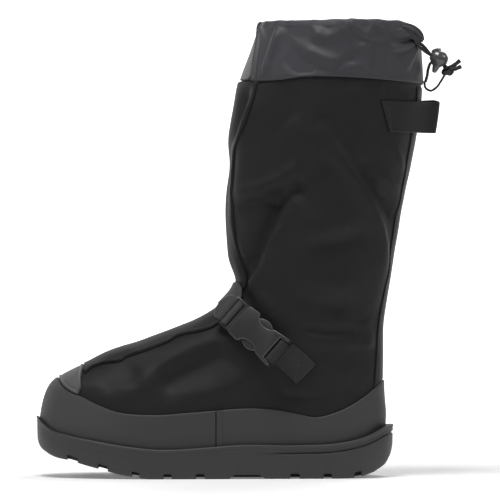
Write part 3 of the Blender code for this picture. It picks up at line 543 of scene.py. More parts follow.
# Upper
# The shell is black coated nylon, one tube from the feather edge in the sole to the collar, with a smooth lining.
# Nothing stiffens the shaft, so it falls into soft folds where it stands, and those are listed here.
UPPER_WALL = 1.6
UPPER_PROFILE = [
    # front x, front z, back x, back z, one row for each ring from the sole to the collar
    (-150.5, 29.8, 146.5, 14.8),
    (-153.4, 42.0, 148.2, 30.0),
    (-153.3, 55.0, 148.9, 47.0),
    (-149.8, 71.0, 149.2, 57.0),
    (-144.4, 81.5, 148.6, 65.0),
    (-136.5, 87.6, 148.0, 72.0),
    (-115.5, 98.3, 147.6, 80.0),
    (-92.0, 110.0, 147.6, 91.0),
    (-66.6, 118.0, 147.8, 104.0),
    (-37.0, 129.0, 147.8, 119.0),
    (-11.0, 140.0, 148.3, 136.0),
    (8.0, 153.5, 151.0, 155.0),
    (20.3, 172.0, 154.5, 177.0),
    (14.2, 196.0, 158.0, 199.0),
    (12.0, 222.0, 161.8, 222.0),
    (12.4, 248.0, 166.4, 248.0),
    (15.4, 276.0, 172.5, 276.0),
    (14.4, 300.0, 177.2, 301.0),
    (18.2, 325.0, 181.0, 326.0),
    (23.5, 350.0, 182.6, 349.0),
    (33.0, 376.0, 181.5, 374.0),
    (40.4, 397.5, 180.0, 397.5),
]
COLLAR_RING = len(UPPER_PROFILE) - 1
STATIONS = (0.0, 0.12, 0.3, 0.5, 0.72, 0.88, 1.0)
UPPER_GIRTH = [
    # ring, fullness at the seven stations, share of the foot's curve
    (0, (86, 72, 57.5, 44.5, 43.5, 54.0, 71.0), 1.0),
    (3, (86, 72, 57.0, 44.0, 43.5, 54.5, 71.5), 1.0),
    (5, (74, 64, 53.0, 44.0, 44.0, 55.0, 70.0), 0.9),
    (6, (64, 56, 49.0, 43.5, 44.5, 55.0, 69.0), 0.75),
    (8, (50, 48, 45.5, 43.5, 44.5, 52.0, 62.0), 0.45),
    (10, (42, 43, 45.0, 45.5, 46.0, 50.0, 56.0), 0.2),
    (12, (49, 50, 50.0, 50.5, 50.5, 52.0, 54.0), 0.05),
    (15, (62, 60, 59.0, 59.0, 59.0, 60.0, 62.0), 0.0),
    (18, (66, 63, 61.0, 61.0, 61.0, 62.0, 64.0), 0.0),
    (21, (58, 57, 57.0, 57.0, 57.0, 57.0, 58.0), 0.0),
]
CENTRE_LINE = ((0.0, 9.0), (0.15, 7.0), (0.35, 1.0), (0.58, -3.5), (0.8, -1.0), (1.0, 0.0))
SPRING_SHARE = ((0, 1.0), (1, 0.62), (3, 0.15), (5, 0.0), (21, 0.0))
BED_LINE = (
    (-160, 31.5), (-150, 29.0), (-130, 26.0), (-112, 22.6), (-83.6, 17.0), (-57, 14.0), (-30, 14.0), (160, 14.0),
)  # fmt: skip
COLLAR_DIP = 8.0
OUTER_FOLDS = (
    # height, width before the line, width behind it, and the line's points in the side view
    # the front edge of the side panel, and the hollow of the pleat before it
    (2.4, 3.0, 9.0, ((37.5, 346), (32.5, 323), (23.2, 303), (17.5, 288), (15.0, 271), (14.4, 247), (16.4, 233))),
    (-3.2, 6.0, 3.2, ((31.0, 345), (25.0, 325), (19.6, 306), (14.0, 290))),
    (-2.0, 5.0, 3.0, ((12.0, 225), (16.0, 205), (22.0, 188), (29.0, 172))),
    (2.2, 3.0, 8.0, ((54, 226), (50, 209), (38.5, 189), (33.5, 175), (30.0, 164))),
    # the deep valley over the ankle, and the soft shelf over it
    (-4.6, 9.0, 7.0, ((60, 256), (48, 228), (39, 206), (33, 186), (29, 172))),
    (2.2, 8.0, 7.0, ((13, 248), (31, 252), (50, 258), (64, 266), (76, 279))),
    (-1.6, 8.0, 8.0, ((16, 238), (34, 244), (62, 249), (84, 262))),
    # the long ridge down the back of the leg, with a hollow behind it
    (2.6, 9.0, 4.0, ((99, 303), (116, 274), (130, 252), (140, 233), (146, 217), (149, 199), (151, 178), (149, 160))),
    (-2.4, 4.0, 7.0, ((127, 284), (133, 268), (142, 254), (153, 238), (157, 222))),
    (1.2, 4.0, 5.0, ((140, 269), (153, 259), (160, 245), (160, 230))),
    (1.4, 5.0, 3.0, ((150, 306), (160, 288), (166, 271), (164, 247), (159, 225))),
    (-1.8, 2.2, 3.0, ((147.5, 331), (155, 316), (160, 302))),
    # under the cuff
    (1.0, 4.0, 4.0, ((148, 348), (147, 333), (150, 322))),
    (-1.4, 5.0, 6.0, ((154, 343), (166, 340), (177, 342))),
    (0.9, 9.0, 10.0, ((118, 346), (127, 330), (136, 318), (139, 304))),
    (-1.2, 9.0, 9.0, ((60, 344), (64, 330), (60, 312), (50, 296))),
    # broad hollows and swells of the side
    (-2.2, 20.0, 18.0, ((66, 244), (88, 262), (106, 284))),
    (1.3, 12.0, 12.0, ((60, 219), (94, 219), (128, 226))),
    (-1.3, 9.0, 9.0, ((80, 204), (108, 208), (136, 216))),
    (-1.1, 12.0, 10.0, ((96, 324), (106, 309), (118, 300))),
    (1.0, 12.0, 12.0, ((66, 318), (78, 302), (92, 292))),
    # over the ankle bone and down to the heel
    (-3.2, 7.0, 8.0, ((22, 168), (30, 151), (44, 135), (58, 121))),
    (2.0, 4.0, 8.0, ((37, 180), (33, 168), (40, 154), (54, 143))),
    (-1.4, 4.0, 5.0, ((72, 133), (93, 128), (124, 129))),
    (1.0, 5.0, 7.0, ((76, 124), (98, 119), (132, 118))),
    (1.2, 5.0, 6.0, ((128, 140), (134, 129), (136, 112))),
    (-1.0, 5.0, 5.0, ((60, 75), (80, 71), (100, 70))),
    (1.2, 10.0, 8.0, ((96, 110), (108, 96), (124, 88))),
    (1.2, 12.0, 10.0, ((62, 176), (92, 172), (124, 168))),
    (-1.4, 10.0, 10.0, ((66, 158), (92, 153), (120, 151))),
    # the instep: a lit ridge runs down to the toe with a long hollow under it
    (1.8, 9.0, 10.0, ((10, 124), (-21, 113.5), (-47, 98), (-73, 81))),
    (-3.4, 12.0, 15.0, ((22, 121), (2, 110), (-28, 93), (-56, 76))),
    (1.0, 10.0, 10.0, ((30, 88), (10, 78), (-20, 70))),
    (-1.0, 7.0, 8.0, ((-66, 98), (-84, 86), (-100, 76))),
)
INNER_FOLDS = (
    (2.2, 3.0, 8.0, ((37, 345), (31, 322), (22, 300), (17, 276), (15, 250), (17, 230))),
    (-2.8, 6.0, 3.2, ((30, 343), (24, 324), (17, 300), (13, 286))),
    (-4.0, 9.0, 7.0, ((74, 262), (58, 234), (44, 208), (34, 184))),
    (2.4, 5.0, 9.0, ((84, 254), (68, 226), (54, 203), (41, 180))),
    (2.0, 8.0, 7.0, ((16, 262), (36, 264), (60, 274), (78, 290))),
    (2.4, 8.0, 5.0, ((92, 318), (112, 286), (130, 256), (142, 228), (149, 196), (150, 168))),
    (-2.6, 5.0, 8.0, ((122, 300), (136, 274), (150, 246), (156, 220))),
    (-2.2, 20.0, 18.0, ((60, 300), (84, 318), (110, 334))),
    (1.4, 12.0, 12.0, ((70, 206), (98, 200), (130, 206))),
    (-1.5, 10.0, 9.0, ((78, 184), (104, 181), (134, 188))),
    (-2.8, 8.0, 9.0, ((20, 160), (34, 148), (54, 140), (78, 138))),
    (1.6, 6.0, 8.0, ((40, 166), (62, 156), (92, 152), (120, 156))),
    (1.2, 6.0, 7.0, ((118, 136), (132, 124), (138, 104))),
    (1.7, 9.0, 10.0, ((4, 122), (-22, 112), (-50, 98), (-80, 84))),
    (-3.2, 12.0, 14.0, ((16, 114), (-4, 104), (-32, 90), (-62, 76))),
    (1.1, 10.0, 10.0, ((36, 84), (8, 74), (-24, 70))),
    (-1.2, 6.0, 7.0, ((84, 112), (104, 104), (128, 98))),
)
FLAT_PLACES = (
    # side, centre x and z, half length, half width, direction in degrees: where a layer lies on the shell
    ("outer", 33.0, 129.0, 36.0, 20.0, -40.0),
    ("outer", 71.0, 100.0, 18.0, 16.0, -40.0),
    ("inner", 40.0, 128.0, 52.0, 15.0, -45.0),
    ("outer", 166.0, 319.0, 18.0, 24.0, 0.0),
    ("inner", 166.0, 319.0, 18.0, 24.0, 0.0),
)
FOLD_DEPTH = 1.9
FOLD_REACH = 40.0
NYLON_THREAD = 0.62
COLUMNS = 300


def upper_surface(angle, ring):
    """Points of the upper's outer face. Angle 0 is the front, pi the back, and the outer side lies between them."""
    angle, ring = np.broadcast_arrays(np.asarray(angle, float), np.asarray(ring, float))
    angle, ring = angle.ravel(), ring.ravel()
    profile = spline_weights(range(len(UPPER_PROFILE)), ring) @ np.array(UPPER_PROFILE)
    front_x, front_z, back_x, back_z = profile.T
    along = (1 - np.cos(angle)) / 2
    by_ring = spline_weights([row[0] for row in UPPER_GIRTH], ring)
    fullness = (by_ring @ np.array([row[1] for row in UPPER_GIRTH]) * spline_weights(STATIONS, along)).sum(axis=1)
    curve_share = by_ring @ np.array([row[2] for row in UPPER_GIRTH])
    x = front_x + along * (back_x - front_x)
    y = curve_share * line_at(CENTRE_LINE, along) - np.sin(angle) * fullness
    spring = line_at(BED_LINE, x) - (1 - along) * line_at(BED_LINE, front_x) - along * line_at(BED_LINE, back_x)
    dip = COLLAR_DIP * np.clip(ring - COLLAR_RING + 1, 0, 1) * np.clip((along - 0.86) / 0.14, 0, 1) ** 2
    z = front_z + along * (back_z - front_z) + line_at(SPRING_SHARE, ring) * spring - dip
    return np.stack([x, y, z], axis=1)


def upper_normal(angle, ring):
    little = 0.02
    around = upper_surface(angle + little, ring) - upper_surface(angle - little, ring)
    high = np.minimum(np.asarray(ring, float) + little, COLLAR_RING)
    low = np.maximum(np.asarray(ring, float) - little, 0)
    upward = upper_surface(angle, high) - upper_surface(angle, low)
    normal = np.cross(around, upward)
    return normal / np.linalg.norm(normal, axis=1)[:, None]


def soft_step(value, low, high):
    share = np.clip((np.asarray(value, float) - low) / (high - low), 0, 1)
    return share * share * (3 - 2 * share)


def line_distance(x, z, line):
    """Signed distance in the side view from a line, positive behind it, and how far along it, from 0 to 1."""
    line = np.asarray(line, float)
    run = np.concatenate([[0], np.cumsum(np.linalg.norm(np.diff(line, axis=0), axis=1))])
    best = np.full(len(x), 1e9)
    signed, share = np.zeros(len(x)), np.zeros(len(x))
    for start, end, run_start in zip(line, line[1:], run):
        way = end - start
        length = np.linalg.norm(way)
        along = np.clip(((x - start[0]) * way[0] + (z - start[1]) * way[1]) / length**2, 0, 1)
        off_x, off_z = x - start[0] - along * way[0], z - start[1] - along * way[1]
        distance = np.hypot(off_x, off_z)
        behind = np.where(off_x * -way[1] + off_z * way[0] > 0, 1.0, -1.0)
        nearer = distance < best
        signed = np.where(nearer, distance * behind, signed)
        share = np.where(nearer, (run_start + along * length) / run[-1], share)
        best = np.minimum(best, distance)
    return signed, share


def fold_relief(x, z, folds):
    """Heights in millimetres that a table of folds raises at points of the side view."""
    height = np.zeros(len(x))
    for rise, before, behind, line in folds:
        line = smooth_route([(px, 0.0, pz) for px, pz in line], 14)[0][:, [0, 2]]
        signed, share = line_distance(x, z, line)
        width = np.where(signed > 0, behind, before)
        fade = soft_step(share, 0.0, 0.22) * soft_step(1 - share, 0.0, 0.22)
        past_reach = np.maximum(np.abs(signed) - FOLD_REACH, 0)
        height += FOLD_DEPTH * rise * np.exp(-((signed / width) ** 2)) * (0.25 + 0.75 * fade) * np.exp(-(past_reach**2))
    return height


def small_creases(x, y, z):
    """Slight uneven rumpling of the cloth, as a sum of a few skewed waves."""
    waves = ((0.11, 0.05, 0.16, 0.6), (0.19, -0.07, 0.09, 2.1), (0.07, 0.13, -0.21, 4.2), (0.27, 0.04, 0.13, 1.3))
    total = 0.0
    for fx, fy, fz, phase in waves:
        bend = 1.7 * np.sin(0.031 * z + 0.023 * x + phase)
        total = total + np.sin(fx * x + fy * y + fz * z + phase + bend)
    return total / len(waves)


def relief_at(angle, ring, points):
    """How far the cloth stands out from its smooth form. It lies flat under every layer that is sewn or stuck on it."""
    x, y, z = points.T
    outer = np.sin(angle) > 0
    height = np.where(outer, fold_relief(x, z, OUTER_FOLDS), fold_relief(x, z, INNER_FOLDS))
    edge_on = soft_step(np.abs(np.sin(angle)), 0.12, 0.6)
    height = height * edge_on + 0.35 * small_creases(x, y, z) * (0.4 + 0.6 * edge_on)
    free = soft_step(z - line_at(RAND_TOP, x), 0.0, 12.0) * soft_step(line_at(CUFF_HEM, x) - z, -1.0, 7.0)
    free = free * soft_step(np.hypot(x + 128.0, z - 90.0), 16.0, 26.0)
    low_place = np.minimum(height, 0) * free
    for side, at_x, at_z, half_length, half_width, degrees in FLAT_PLACES:
        turn = math.radians(degrees)
        along = (x - at_x) * math.cos(turn) + (z - at_z) * math.sin(turn)
        across = -(x - at_x) * math.sin(turn) + (z - at_z) * math.cos(turn)
        inside = np.hypot(along / half_length, across / half_width)
        on_side = outer if side == "outer" else ~outer
        free = np.where(on_side, free * soft_step(inside, 0.9, 1.9), free)
    return low_place * (0.3 + 0.7 * free) + np.maximum(height, 0) * free


def on_upper(angle, ring, distance, with_relief=0.0):
    """Points at a distance outside the upper's smooth form, with a share of the cloth's folds added."""
    angle, ring = np.broadcast_arrays(np.asarray(angle, float), np.asarray(ring, float))
    shape = angle.shape
    angle, ring = angle.ravel(), ring.ravel()
    smooth = upper_surface(angle, ring)
    out = np.broadcast_to(distance, shape).ravel().astype(float)
    if with_relief:
        out = out + with_relief * relief_at(angle, ring, smooth)
    return (smooth + upper_normal(angle, ring) * out[:, None]).reshape(*shape, 3)


RAND_TOP = (
    (-141.5, 89.5), (-139.2, 86.6), (-134.6, 80.9), (-124.7, 74.2), (-118.5, 72.3), (-103.7, 65.3), (-85.2, 58.5),
    (-66.6, 56.4), (-48.1, 56.1), (-23.4, 57.9), (1.2, 59.8), (17.7, 61.3), (36.2, 61.6), (54.7, 60.3), (73.2, 56.6),
    (89.3, 53.8), (104.1, 57.2), (122.6, 65.9), (135, 74.5), (147.3, 85.6), (152.0, 90.5),
)  # fmt: skip
CUFF_HEM = ((10.0, 349.1), (59.8, 349.8), (77.4, 352.0), (106.5, 352.0), (157.6, 349.1), (190.0, 346.5))

nylon = Finish("shaft_nylon", (0.014, 0.014, 0.015), 0.56, Specular_IOR_Level=0.22, Sheen_Weight=0.02)
u, v = nylon.cloth_place()
weave = u.wave(NYLON_THREAD) * v.wave(NYLON_THREAD) * 0.5 + 0.5
rumple = nylon.noise(16.0, 3.0, 0.6)
grain = nylon.noise(1.6, 2.0, 0.6)
cloud = nylon.noise(42.0, 3.0, 0.6)
nylon.colour_between(cloud.between(0.25, 0.75), (0.0095, 0.0095, 0.0103), (0.0155, 0.0155, 0.0165))
nylon.feed("Roughness", grain * 0.16 + rumple * 0.1 + 0.42)
nylon.raise_by(weave * 0.05 + grain * 0.08 + rumple * 0.87, 1.1)

ring_rows = np.concatenate([np.linspace(0, 4, 12, endpoint=False), np.linspace(4, COLLAR_RING, 196)])
column_angles = 2 * math.pi * np.arange(COLUMNS) / COLUMNS
angle_grid, ring_grid = np.meshgrid(column_angles, ring_rows)
outer_face = on_upper(angle_grid, ring_grid, 0.0, 1.0)
lining_rows = np.linspace(0, COLLAR_RING, 40)
angle_grid, ring_grid = np.meshgrid(column_angles, lining_rows)
inner_face = on_upper(angle_grid, ring_grid, -UPPER_WALL, 1.0)
shell = skin("shell", outer_face, nylon, inner=inner_face)
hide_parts("upper")


def crossing(shape, low, high, before):
    """Where a test turns from true to false between low and high, found by halving."""
    low, high = np.full(shape, low), np.full(shape, high)
    for _ in range(34):
        middle = (low + high) / 2
        still_before = before(middle)
        low = np.where(still_before, middle, low)
        high = np.where(still_before, high, middle)
    return (low + high) / 2


def ring_at_height(angle, height_line, low=0.0, high=8.0):
    """The ring at which each angle's upright line crosses a side-view line."""
    angle = np.asarray(angle, float)

    def below(ring):
        point = upper_surface(angle, ring)
        return point[:, 2] < line_at(height_line, point[:, 0])

    return crossing(len(angle), low, high, below)


# Mudguard
# Two strips of thin moulded rubber are glued round the foot, and meet in an upright seam at each side. The toe strip
# has a fine diamond knurl, and fades to a plain grained face along the sides.
GAP = 0.3
RAND_WALL = 2.0
RAND_SEAM_X = 1.3
KNURL_PITCH = 1.7


def layer(name, angle, ring, thickness, finish, lift=GAP, relief=1.0, edge=1.2, shape=None, around=False, sharp=50.0):
    """A sheet on the upper, from grids of angles and rings, with rounded edges. Shape adds heights to its face."""
    base = on_upper(angle, ring, lift, relief)
    down_rows = np.linalg.norm(np.diff(base, axis=0), axis=2)
    from_low = np.concatenate([np.zeros((1, base.shape[1])), np.cumsum(down_rows, axis=0)])
    to_edge = np.minimum(from_low, from_low[-1] - from_low)
    if not around:
        over = np.linalg.norm(np.diff(base, axis=1), axis=2)
        from_side = np.concatenate([np.zeros((base.shape[0], 1)), np.cumsum(over, axis=1)], axis=1)
        to_edge = np.minimum(to_edge, np.minimum(from_side, from_side[:, -1:] - from_side))
    rounded = np.sqrt(1 - (1 - np.clip(to_edge / edge, 0, 1)) ** 2)
    height = lift + thickness * (0.3 + 0.7 * rounded)
    if shape is not None:
        height = height + shape(angle, ring, to_edge, base)
    face = on_upper(angle, ring, height, relief)
    return skin(name, face, finish, around=around, inner=base, sharp=sharp)


def edged(count, edge_share=0.03):
    """Places from 0 to 1 that crowd together at both ends, where a sheet's edge is rounded."""
    ends = np.array([0.0, 0.12, 0.45]) * edge_share
    return np.concatenate([ends, np.linspace(edge_share, 1 - edge_share, count), 1 - ends[::-1]])


def angle_at_place(ring, edge_line, low=0.02, high=1.9):
    """The angle at which each ring reaches a line of the side view that is given as x for each height."""
    ring = np.asarray(ring, float)

    def before(angle):
        point = upper_surface(angle, ring)
        return (point[:, 0] < line_at(edge_line, point[:, 2])).reshape(ring.shape)

    return crossing(ring.shape, low, high, before)


def seam_angle(ring):
    """The angle at which each ring meets the mudguard's seam, on the outer side."""
    profile = spline_weights(range(len(UPPER_PROFILE)), ring) @ np.array(UPPER_PROFILE)
    along = (RAND_SEAM_X - profile[:, 0]) / (profile[:, 2] - profile[:, 0])
    return np.arccos(1 - 2 * np.clip(along, 0.01, 0.99)).reshape(np.shape(ring))


rubber = {}
for part, knurl in (("toe", 1.0), ("heel", 0.0)):
    finish = Finish(f"mudguard_{part}_rubber", (0.04, 0.04, 0.0425), 0.6)
    u, v = finish.cloth_place()
    x, y, z = finish.place()
    grain = finish.noise(0.9, 2.0, 0.6)
    cloud = finish.noise(22.0, 3.0)
    height = grain * 0.6
    if knurl:
        diamonds = (u + v).wave(KNURL_PITCH) * (u - v).wave(KNURL_PITCH) * 0.5 + 0.5
        at_toe = (-60.0 - x).between(0.0, 90.0)
        height = height * (1.0 - at_toe * 0.6) + diamonds * at_toe * 1.0
        finish.feed("Roughness", diamonds * at_toe * -0.1 + grain * 0.12 + 0.56)
    else:
        finish.feed("Roughness", grain * 0.12 + cloud * 0.08 + 0.5)
    paler = (-90.0 - x).between(0.0, 60.0) * 0.8
    shade = (cloud * 0.7 + grain * 0.3).between(0.3, 0.7) + paler
    finish.colour_between(shade, (0.03, 0.03, 0.032), (0.045, 0.045, 0.0475))
    finish.raise_by(height, 0.32)
    rubber[part] = finish

guard_rows = edged(26, 0.03)
for part, columns in (("toe", 200), ("heel", 150)):
    share = np.concatenate([[-1.0, -0.9985, -0.995], np.linspace(-0.985, 0.985, columns), [0.995, 0.9985, 1.0]])
    ring = np.full((len(guard_rows), len(share)), 2.0)
    for _ in range(3):
        meets = seam_angle(ring)
        angle = share * meets if part == "toe" else math.pi + share * (math.pi - meets)
        top = ring_at_height(angle[-1], RAND_TOP)
        ring = 0.12 + (top - 0.12) * guard_rows[:, None]
    if part == "toe":
        angle = angle * (1 - 0.15 / 300)
    guard = layer(f"mudguard_{part}", angle, ring, RAND_WALL, rubber[part], edge=1.4)
    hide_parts(f"rand_{part}")

# The two strips overlap at the seam, and the overlap shows as a narrow flat band behind it.
SEAM_BAND = (1.3, 6.9)
SEAM_BAND_WALL = 0.45
for side in (1, -1):
    ring = np.repeat(np.linspace(0.5, 3.2, 40)[:, None], 9, axis=1)
    for _ in range(3):
        edges = [angle_at_place(ring[:, 0], ((-10, x), (100, x)), 0.3, 2.6) for x in SEAM_BAND]
        angle = edges[0][:, None] + (edges[1] - edges[0])[:, None] * edged(3, 0.08)
        top = ring_at_height(angle[-1], RAND_TOP) - 0.02
        ring = 0.5 + (top - 0.5) * np.linspace(0, 1, 40)[:, None]
    name = "mudguard_seam_outer" if side > 0 else "mudguard_seam_inner"
    band = layer(name, angle * side, ring, SEAM_BAND_WALL, rubber["heel"], lift=GAP + RAND_WALL, edge=0.5)

# Backstay
# A narrow strip of shell nylon is sewn over the back seam, from the mudguard up to the cuff's hem.
BACKSTAY_HALF = 0.34
BACKSTAY_WALL = 0.8
share = np.clip(2 * edged(14, 0.04) - 1, -1, 1)
ring = np.full((150, len(share)), 10.0)
angle = np.broadcast_to(math.pi + BACKSTAY_HALF * share, ring.shape)
foot_ring = ring_at_height(angle[0], RAND_TOP) + 0.04
head_ring = ring_at_height(angle[0], ((0.0, 344.6), (200.0, 344.6)), 16.0, 20.5)
ring = foot_ring + (head_ring - foot_ring) * np.linspace(0, 1, 150)[:, None]
backstay_angle, backstay_ring = angle, ring
backstay = layer("backstay", angle, ring, BACKSTAY_WALL, nylon, edge=0.9)


# Toe patch
# A thicker overlay of grained rubber is moulded over the tip of the pleat. A raised bead runs along its edge.
PATCH_WALL = 2.4
PATCH_LOW = (
    (-175, 88.9), (-142.0, 88.9), (-138.7, 87.4), (-134.3, 81.8), (-124.4, 75.0), (-119.2, 73.4), (-112.0, 72.5),
)  # fmt: skip
PATCH_REAR = ((70.0, -119.6), (73.4, -119.2), (78.9, -117.7), (87.4, -118.1), (95.8, -116.7), (102.5, -115.7))


def ring_at_place(angle, rear_line, low, high):
    """The ring at which each angle reaches a line of the side view that is given as x for each height."""
    angle = np.asarray(angle, float)

    def before(ring):
        point = upper_surface(angle, ring)
        return point[:, 0] < line_at(rear_line, point[:, 2])

    return crossing(len(angle), low, high, before)


patch_finish = Finish("toe_patch_rubber", (0.075, 0.075, 0.079), 0.6)
grain = patch_finish.noise(0.8, 3.0, 0.7)
cloud = patch_finish.noise(14.0, 2.0)
patch_finish.colour_between((cloud * 0.5 + grain * 0.5).between(0.3, 0.7), (0.066, 0.066, 0.069), (0.1, 0.1, 0.105))
patch_finish.feed("Roughness", grain * 0.2 + 0.5)
patch_finish.raise_by(grain, 0.3)

corner_low, corner_high = 0.1, 1.5
for _ in range(40):
    corner = (corner_low + corner_high) / 2
    gap = ring_at_place([corner], PATCH_REAR, 2.0, 9.0) - ring_at_height([corner], PATCH_LOW)
    corner_low, corner_high = (corner, corner_high) if gap[0] > 0 else (corner_low, corner)
patch_share = np.sin(edged(46, 0.04) * math.pi - math.pi / 2) * 0.5 + edged(46, 0.04) - 0.5
patch_angles = corner * 0.985 * np.clip(patch_share, -1, 1)
low_ring, high_ring = ring_at_height(patch_angles, PATCH_LOW), ring_at_place(patch_angles, PATCH_REAR, 2.0, 9.0)
steps = edged(30, 0.05)[:, None]
ring = low_ring + (high_ring - low_ring) * steps
angle = np.broadcast_to(patch_angles, ring.shape)


def patch_bead(angle, ring, to_edge, base):
    return 0.75 * np.exp(-(((to_edge - 1.5) / 0.75) ** 2)) - 0.35 * np.exp(-(((to_edge - 3.1) / 0.8) ** 2))


patch = layer("toe_patch_cap", angle, ring, PATCH_WALL - 0.5, patch_finish, edge=0.9, shape=patch_bead)
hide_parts("toe_patch")


# Front pleat
# The gusset that lets the shaft open is folded flat down the front, one strip of shell nylon from the toe patch to
# the cuff. Its edge is turned under, and wanders a little along the instep.
PLEAT_WALL = 2.5
PLEAT_EDGE = (
    (-115.2, 90.5), (-104.5, 98.0), (-96.6, 100.3), (-85.4, 101.9), (-78.7, 105.3), (-60.5, 111.6), (-42.0, 118.4),
    (-29.6, 124.6), (-11.1, 128.6), (3.7, 135.6), (16.0, 153.0), (26.4, 169.8), (21.0, 191.8), (17.5, 218.0),
    (16.6, 245.0), (17.5, 271.0), (20.0, 290.0), (30.8, 313.3), (36.0, 330.0), (38.0, 348.6),
)  # fmt: skip


pleat_line = [(z, x) for x, z in PLEAT_EDGE]
share = np.clip(2 * edged(40, 0.05) - 1, -1, 1)
start_half = angle_at_place(np.array([6.03]), pleat_line)[0]
start_ring = ring_at_place(start_half * share, PATCH_REAR, 2.0, 9.0) + 0.012
ring = start_ring + (18.98 - start_ring) * np.linspace(0, 1, 210)[:, None]
pleat_half = angle_at_place(ring, pleat_line)
angle = pleat_half * share


def pleat_shape(angle, ring, to_edge, base):
    """The strip stands over the instep and lies low up the shaft, with soft folds along it."""
    up = soft_step(ring, 10.6, 12.6)
    across = angle / pleat_half
    folds = 0.45 * np.cos(across * 7.0) + 0.25 * np.sin(ring * 3.1 + across * 3.0)
    rim = 0.5 * np.exp(-(((to_edge - 1.3) / 1.0) ** 2)) * (1 - 0.6 * up)
    return (folds - 0.35 * PLEAT_WALL * np.abs(across) ** 3) * up + rim + 0.12 * folds * (1 - up)


pleat = layer("front_gusset", angle, ring, PLEAT_WALL - 0.4, nylon, edge=1.3, shape=pleat_shape)
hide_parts("front_pleat")


# Closure strip
# Grey hook-and-loop tape, sewn over the top of the gusset. The loops are brushed paler in its lower third.
FASTENER_WALL = 1.7
FASTENER_EDGE = ((29.6, 349.6), (32.6, 353.0), (34.6, 362.6), (37.2, 379.4), (39.0, 396.6))
tape_finish = Finish("grey_fastening", (0.17, 0.17, 0.178), 0.85, Sheen_Weight=0.3)
u, v = tape_finish.cloth_place()
x, y, z = tape_finish.place()
ribs = u.wave(1.5) * 0.5 + 0.5
knots = v.wave(1.3) * 0.5 + 0.5
fluff = tape_finish.noise(1.1, 3.0, 0.7)
low_third = (z * -1.0 + 371.0).between(0.0, 3.0)
shade = fluff * 0.5 + ribs * 0.35 + low_third * 0.25
tape_finish.colour_between(shade.between(0.15, 0.95), (0.034, 0.034, 0.036), (0.085, 0.085, 0.089))
tape_finish.raise_by(ribs * 0.35 + knots * 0.2 + fluff * 0.45, 0.5)
rows = 19.02 + (COLLAR_RING - 0.12 - 19.02) * edged(40, 0.02)
half = angle_at_place(rows, [(z, x) for x, z in FASTENER_EDGE])
share = np.clip(2 * edged(36, 0.02) - 1, -1, 1)
tape_rows, tape_half = rows, half
strip = layer("closure_tape", half[:, None] * share, np.broadcast_to(rows[:, None], (len(rows), len(share))),
              FASTENER_WALL, tape_finish, relief=0.0, edge=0.7)  # fmt: skip
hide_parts("closure_strip")


# Cuff
# A collar of thinner, smoother nylon is sewn outside the shaft and turned in over its top edge, where the drawcord
# runs. The cord gathers it, so it wrinkles towards the back, and its front edges stand in a fold beside the tape.
CUFF_WALL = 1.5
CUFF_FRONT = ((33.4, 340.0), (34.2, 353.0), (35.6, 362.6), (38.2, 379.4), (40.0, 396.6), (40.6, 408.0))
CUFF_LIP = 1.9
LIP_REACH = 9.0
CUFF_TROUGH = 4.0
TROUGH_FROM_EDGE = 4.6
TROUGH_REACH = 2.1
CUFF_RUMPLE = 1.35
CUFF_LOWEST = -0.95
SHAFT_RADIUS = 62.0
TAFFETA_THREAD = 0.5
CUFF_FOLD = ((0.9, 3.0), (0.3, 4.2), (-0.9, 4.9), (-2.0, 4.2), (-2.8, 2.2), (-2.9, 0.0), (-2.9, -3.0), (-2.7, -9.0),
             (-2.4, -16.0), (-1.8, -18.0))  # fmt: skip
CUFF_FOLDS = (
    (1.5, 2.6, 3.8, ((57.6, 397), (53.5, 382), (48.0, 367), (44.0, 352))),
    (1.2, 3.0, 3.4, ((116, 402), (121, 396), (134, 387))),
    (0.9, 6.0, 6.0, ((86, 392), (98, 387), (112, 392))),
    (1.1, 6.0, 5.0, ((78, 379), (92, 370), (106, 365), (122, 361))),
    (-0.9, 4.0, 4.0, ((104, 361), (113, 364), (122, 369))),
    (-0.9, 8.0, 8.0, ((62, 372), (74, 362), (90, 356))),
    (0.9, 5.0, 5.0, ((128, 384), (132, 370), (131, 356))),
    (-0.8, 5.0, 6.0, ((140, 388), (143, 372), (141, 356))),
    (1.0, 3.0, 3.0, ((176, 384), (164, 379), (152, 377))),
    (-0.8, 2.4, 2.4, ((176, 386), (165, 385), (154, 385))),
    (1.1, 2.6, 2.6, ((176, 388), (166, 391), (156, 393))),
    (0.9, 3.0, 3.0, ((178, 380), (171, 370), (166, 358))),
    (-0.8, 2.5, 3.0, ((179, 378), (176, 366), (174, 354))),
    (-0.8, 10.0, 10.0, ((66, 388), (76, 396), (88, 398))),
    (0.9, 10.0, 10.0, ((146, 398), (140, 392), (132, 396))),
)
taffeta = Finish("cuff_taffeta", (0.026, 0.026, 0.031), 0.42, Specular_IOR_Level=0.4, Sheen_Weight=0.04)
u, v = taffeta.cloth_place()
weave = u.wave(TAFFETA_THREAD) * v.wave(TAFFETA_THREAD) * 0.5 + 0.5
rumple = taffeta.noise(11.0, 3.0, 0.55)
cloud = taffeta.noise(30.0, 2.0)
taffeta.colour_between(cloud.between(0.3, 0.7), (0.034, 0.034, 0.04), (0.046, 0.0455, 0.0535))
taffeta.feed("Roughness", rumple * 0.18 + 0.44)
taffeta.raise_by(weave * 0.03 + rumple * 0.97, 1.3)

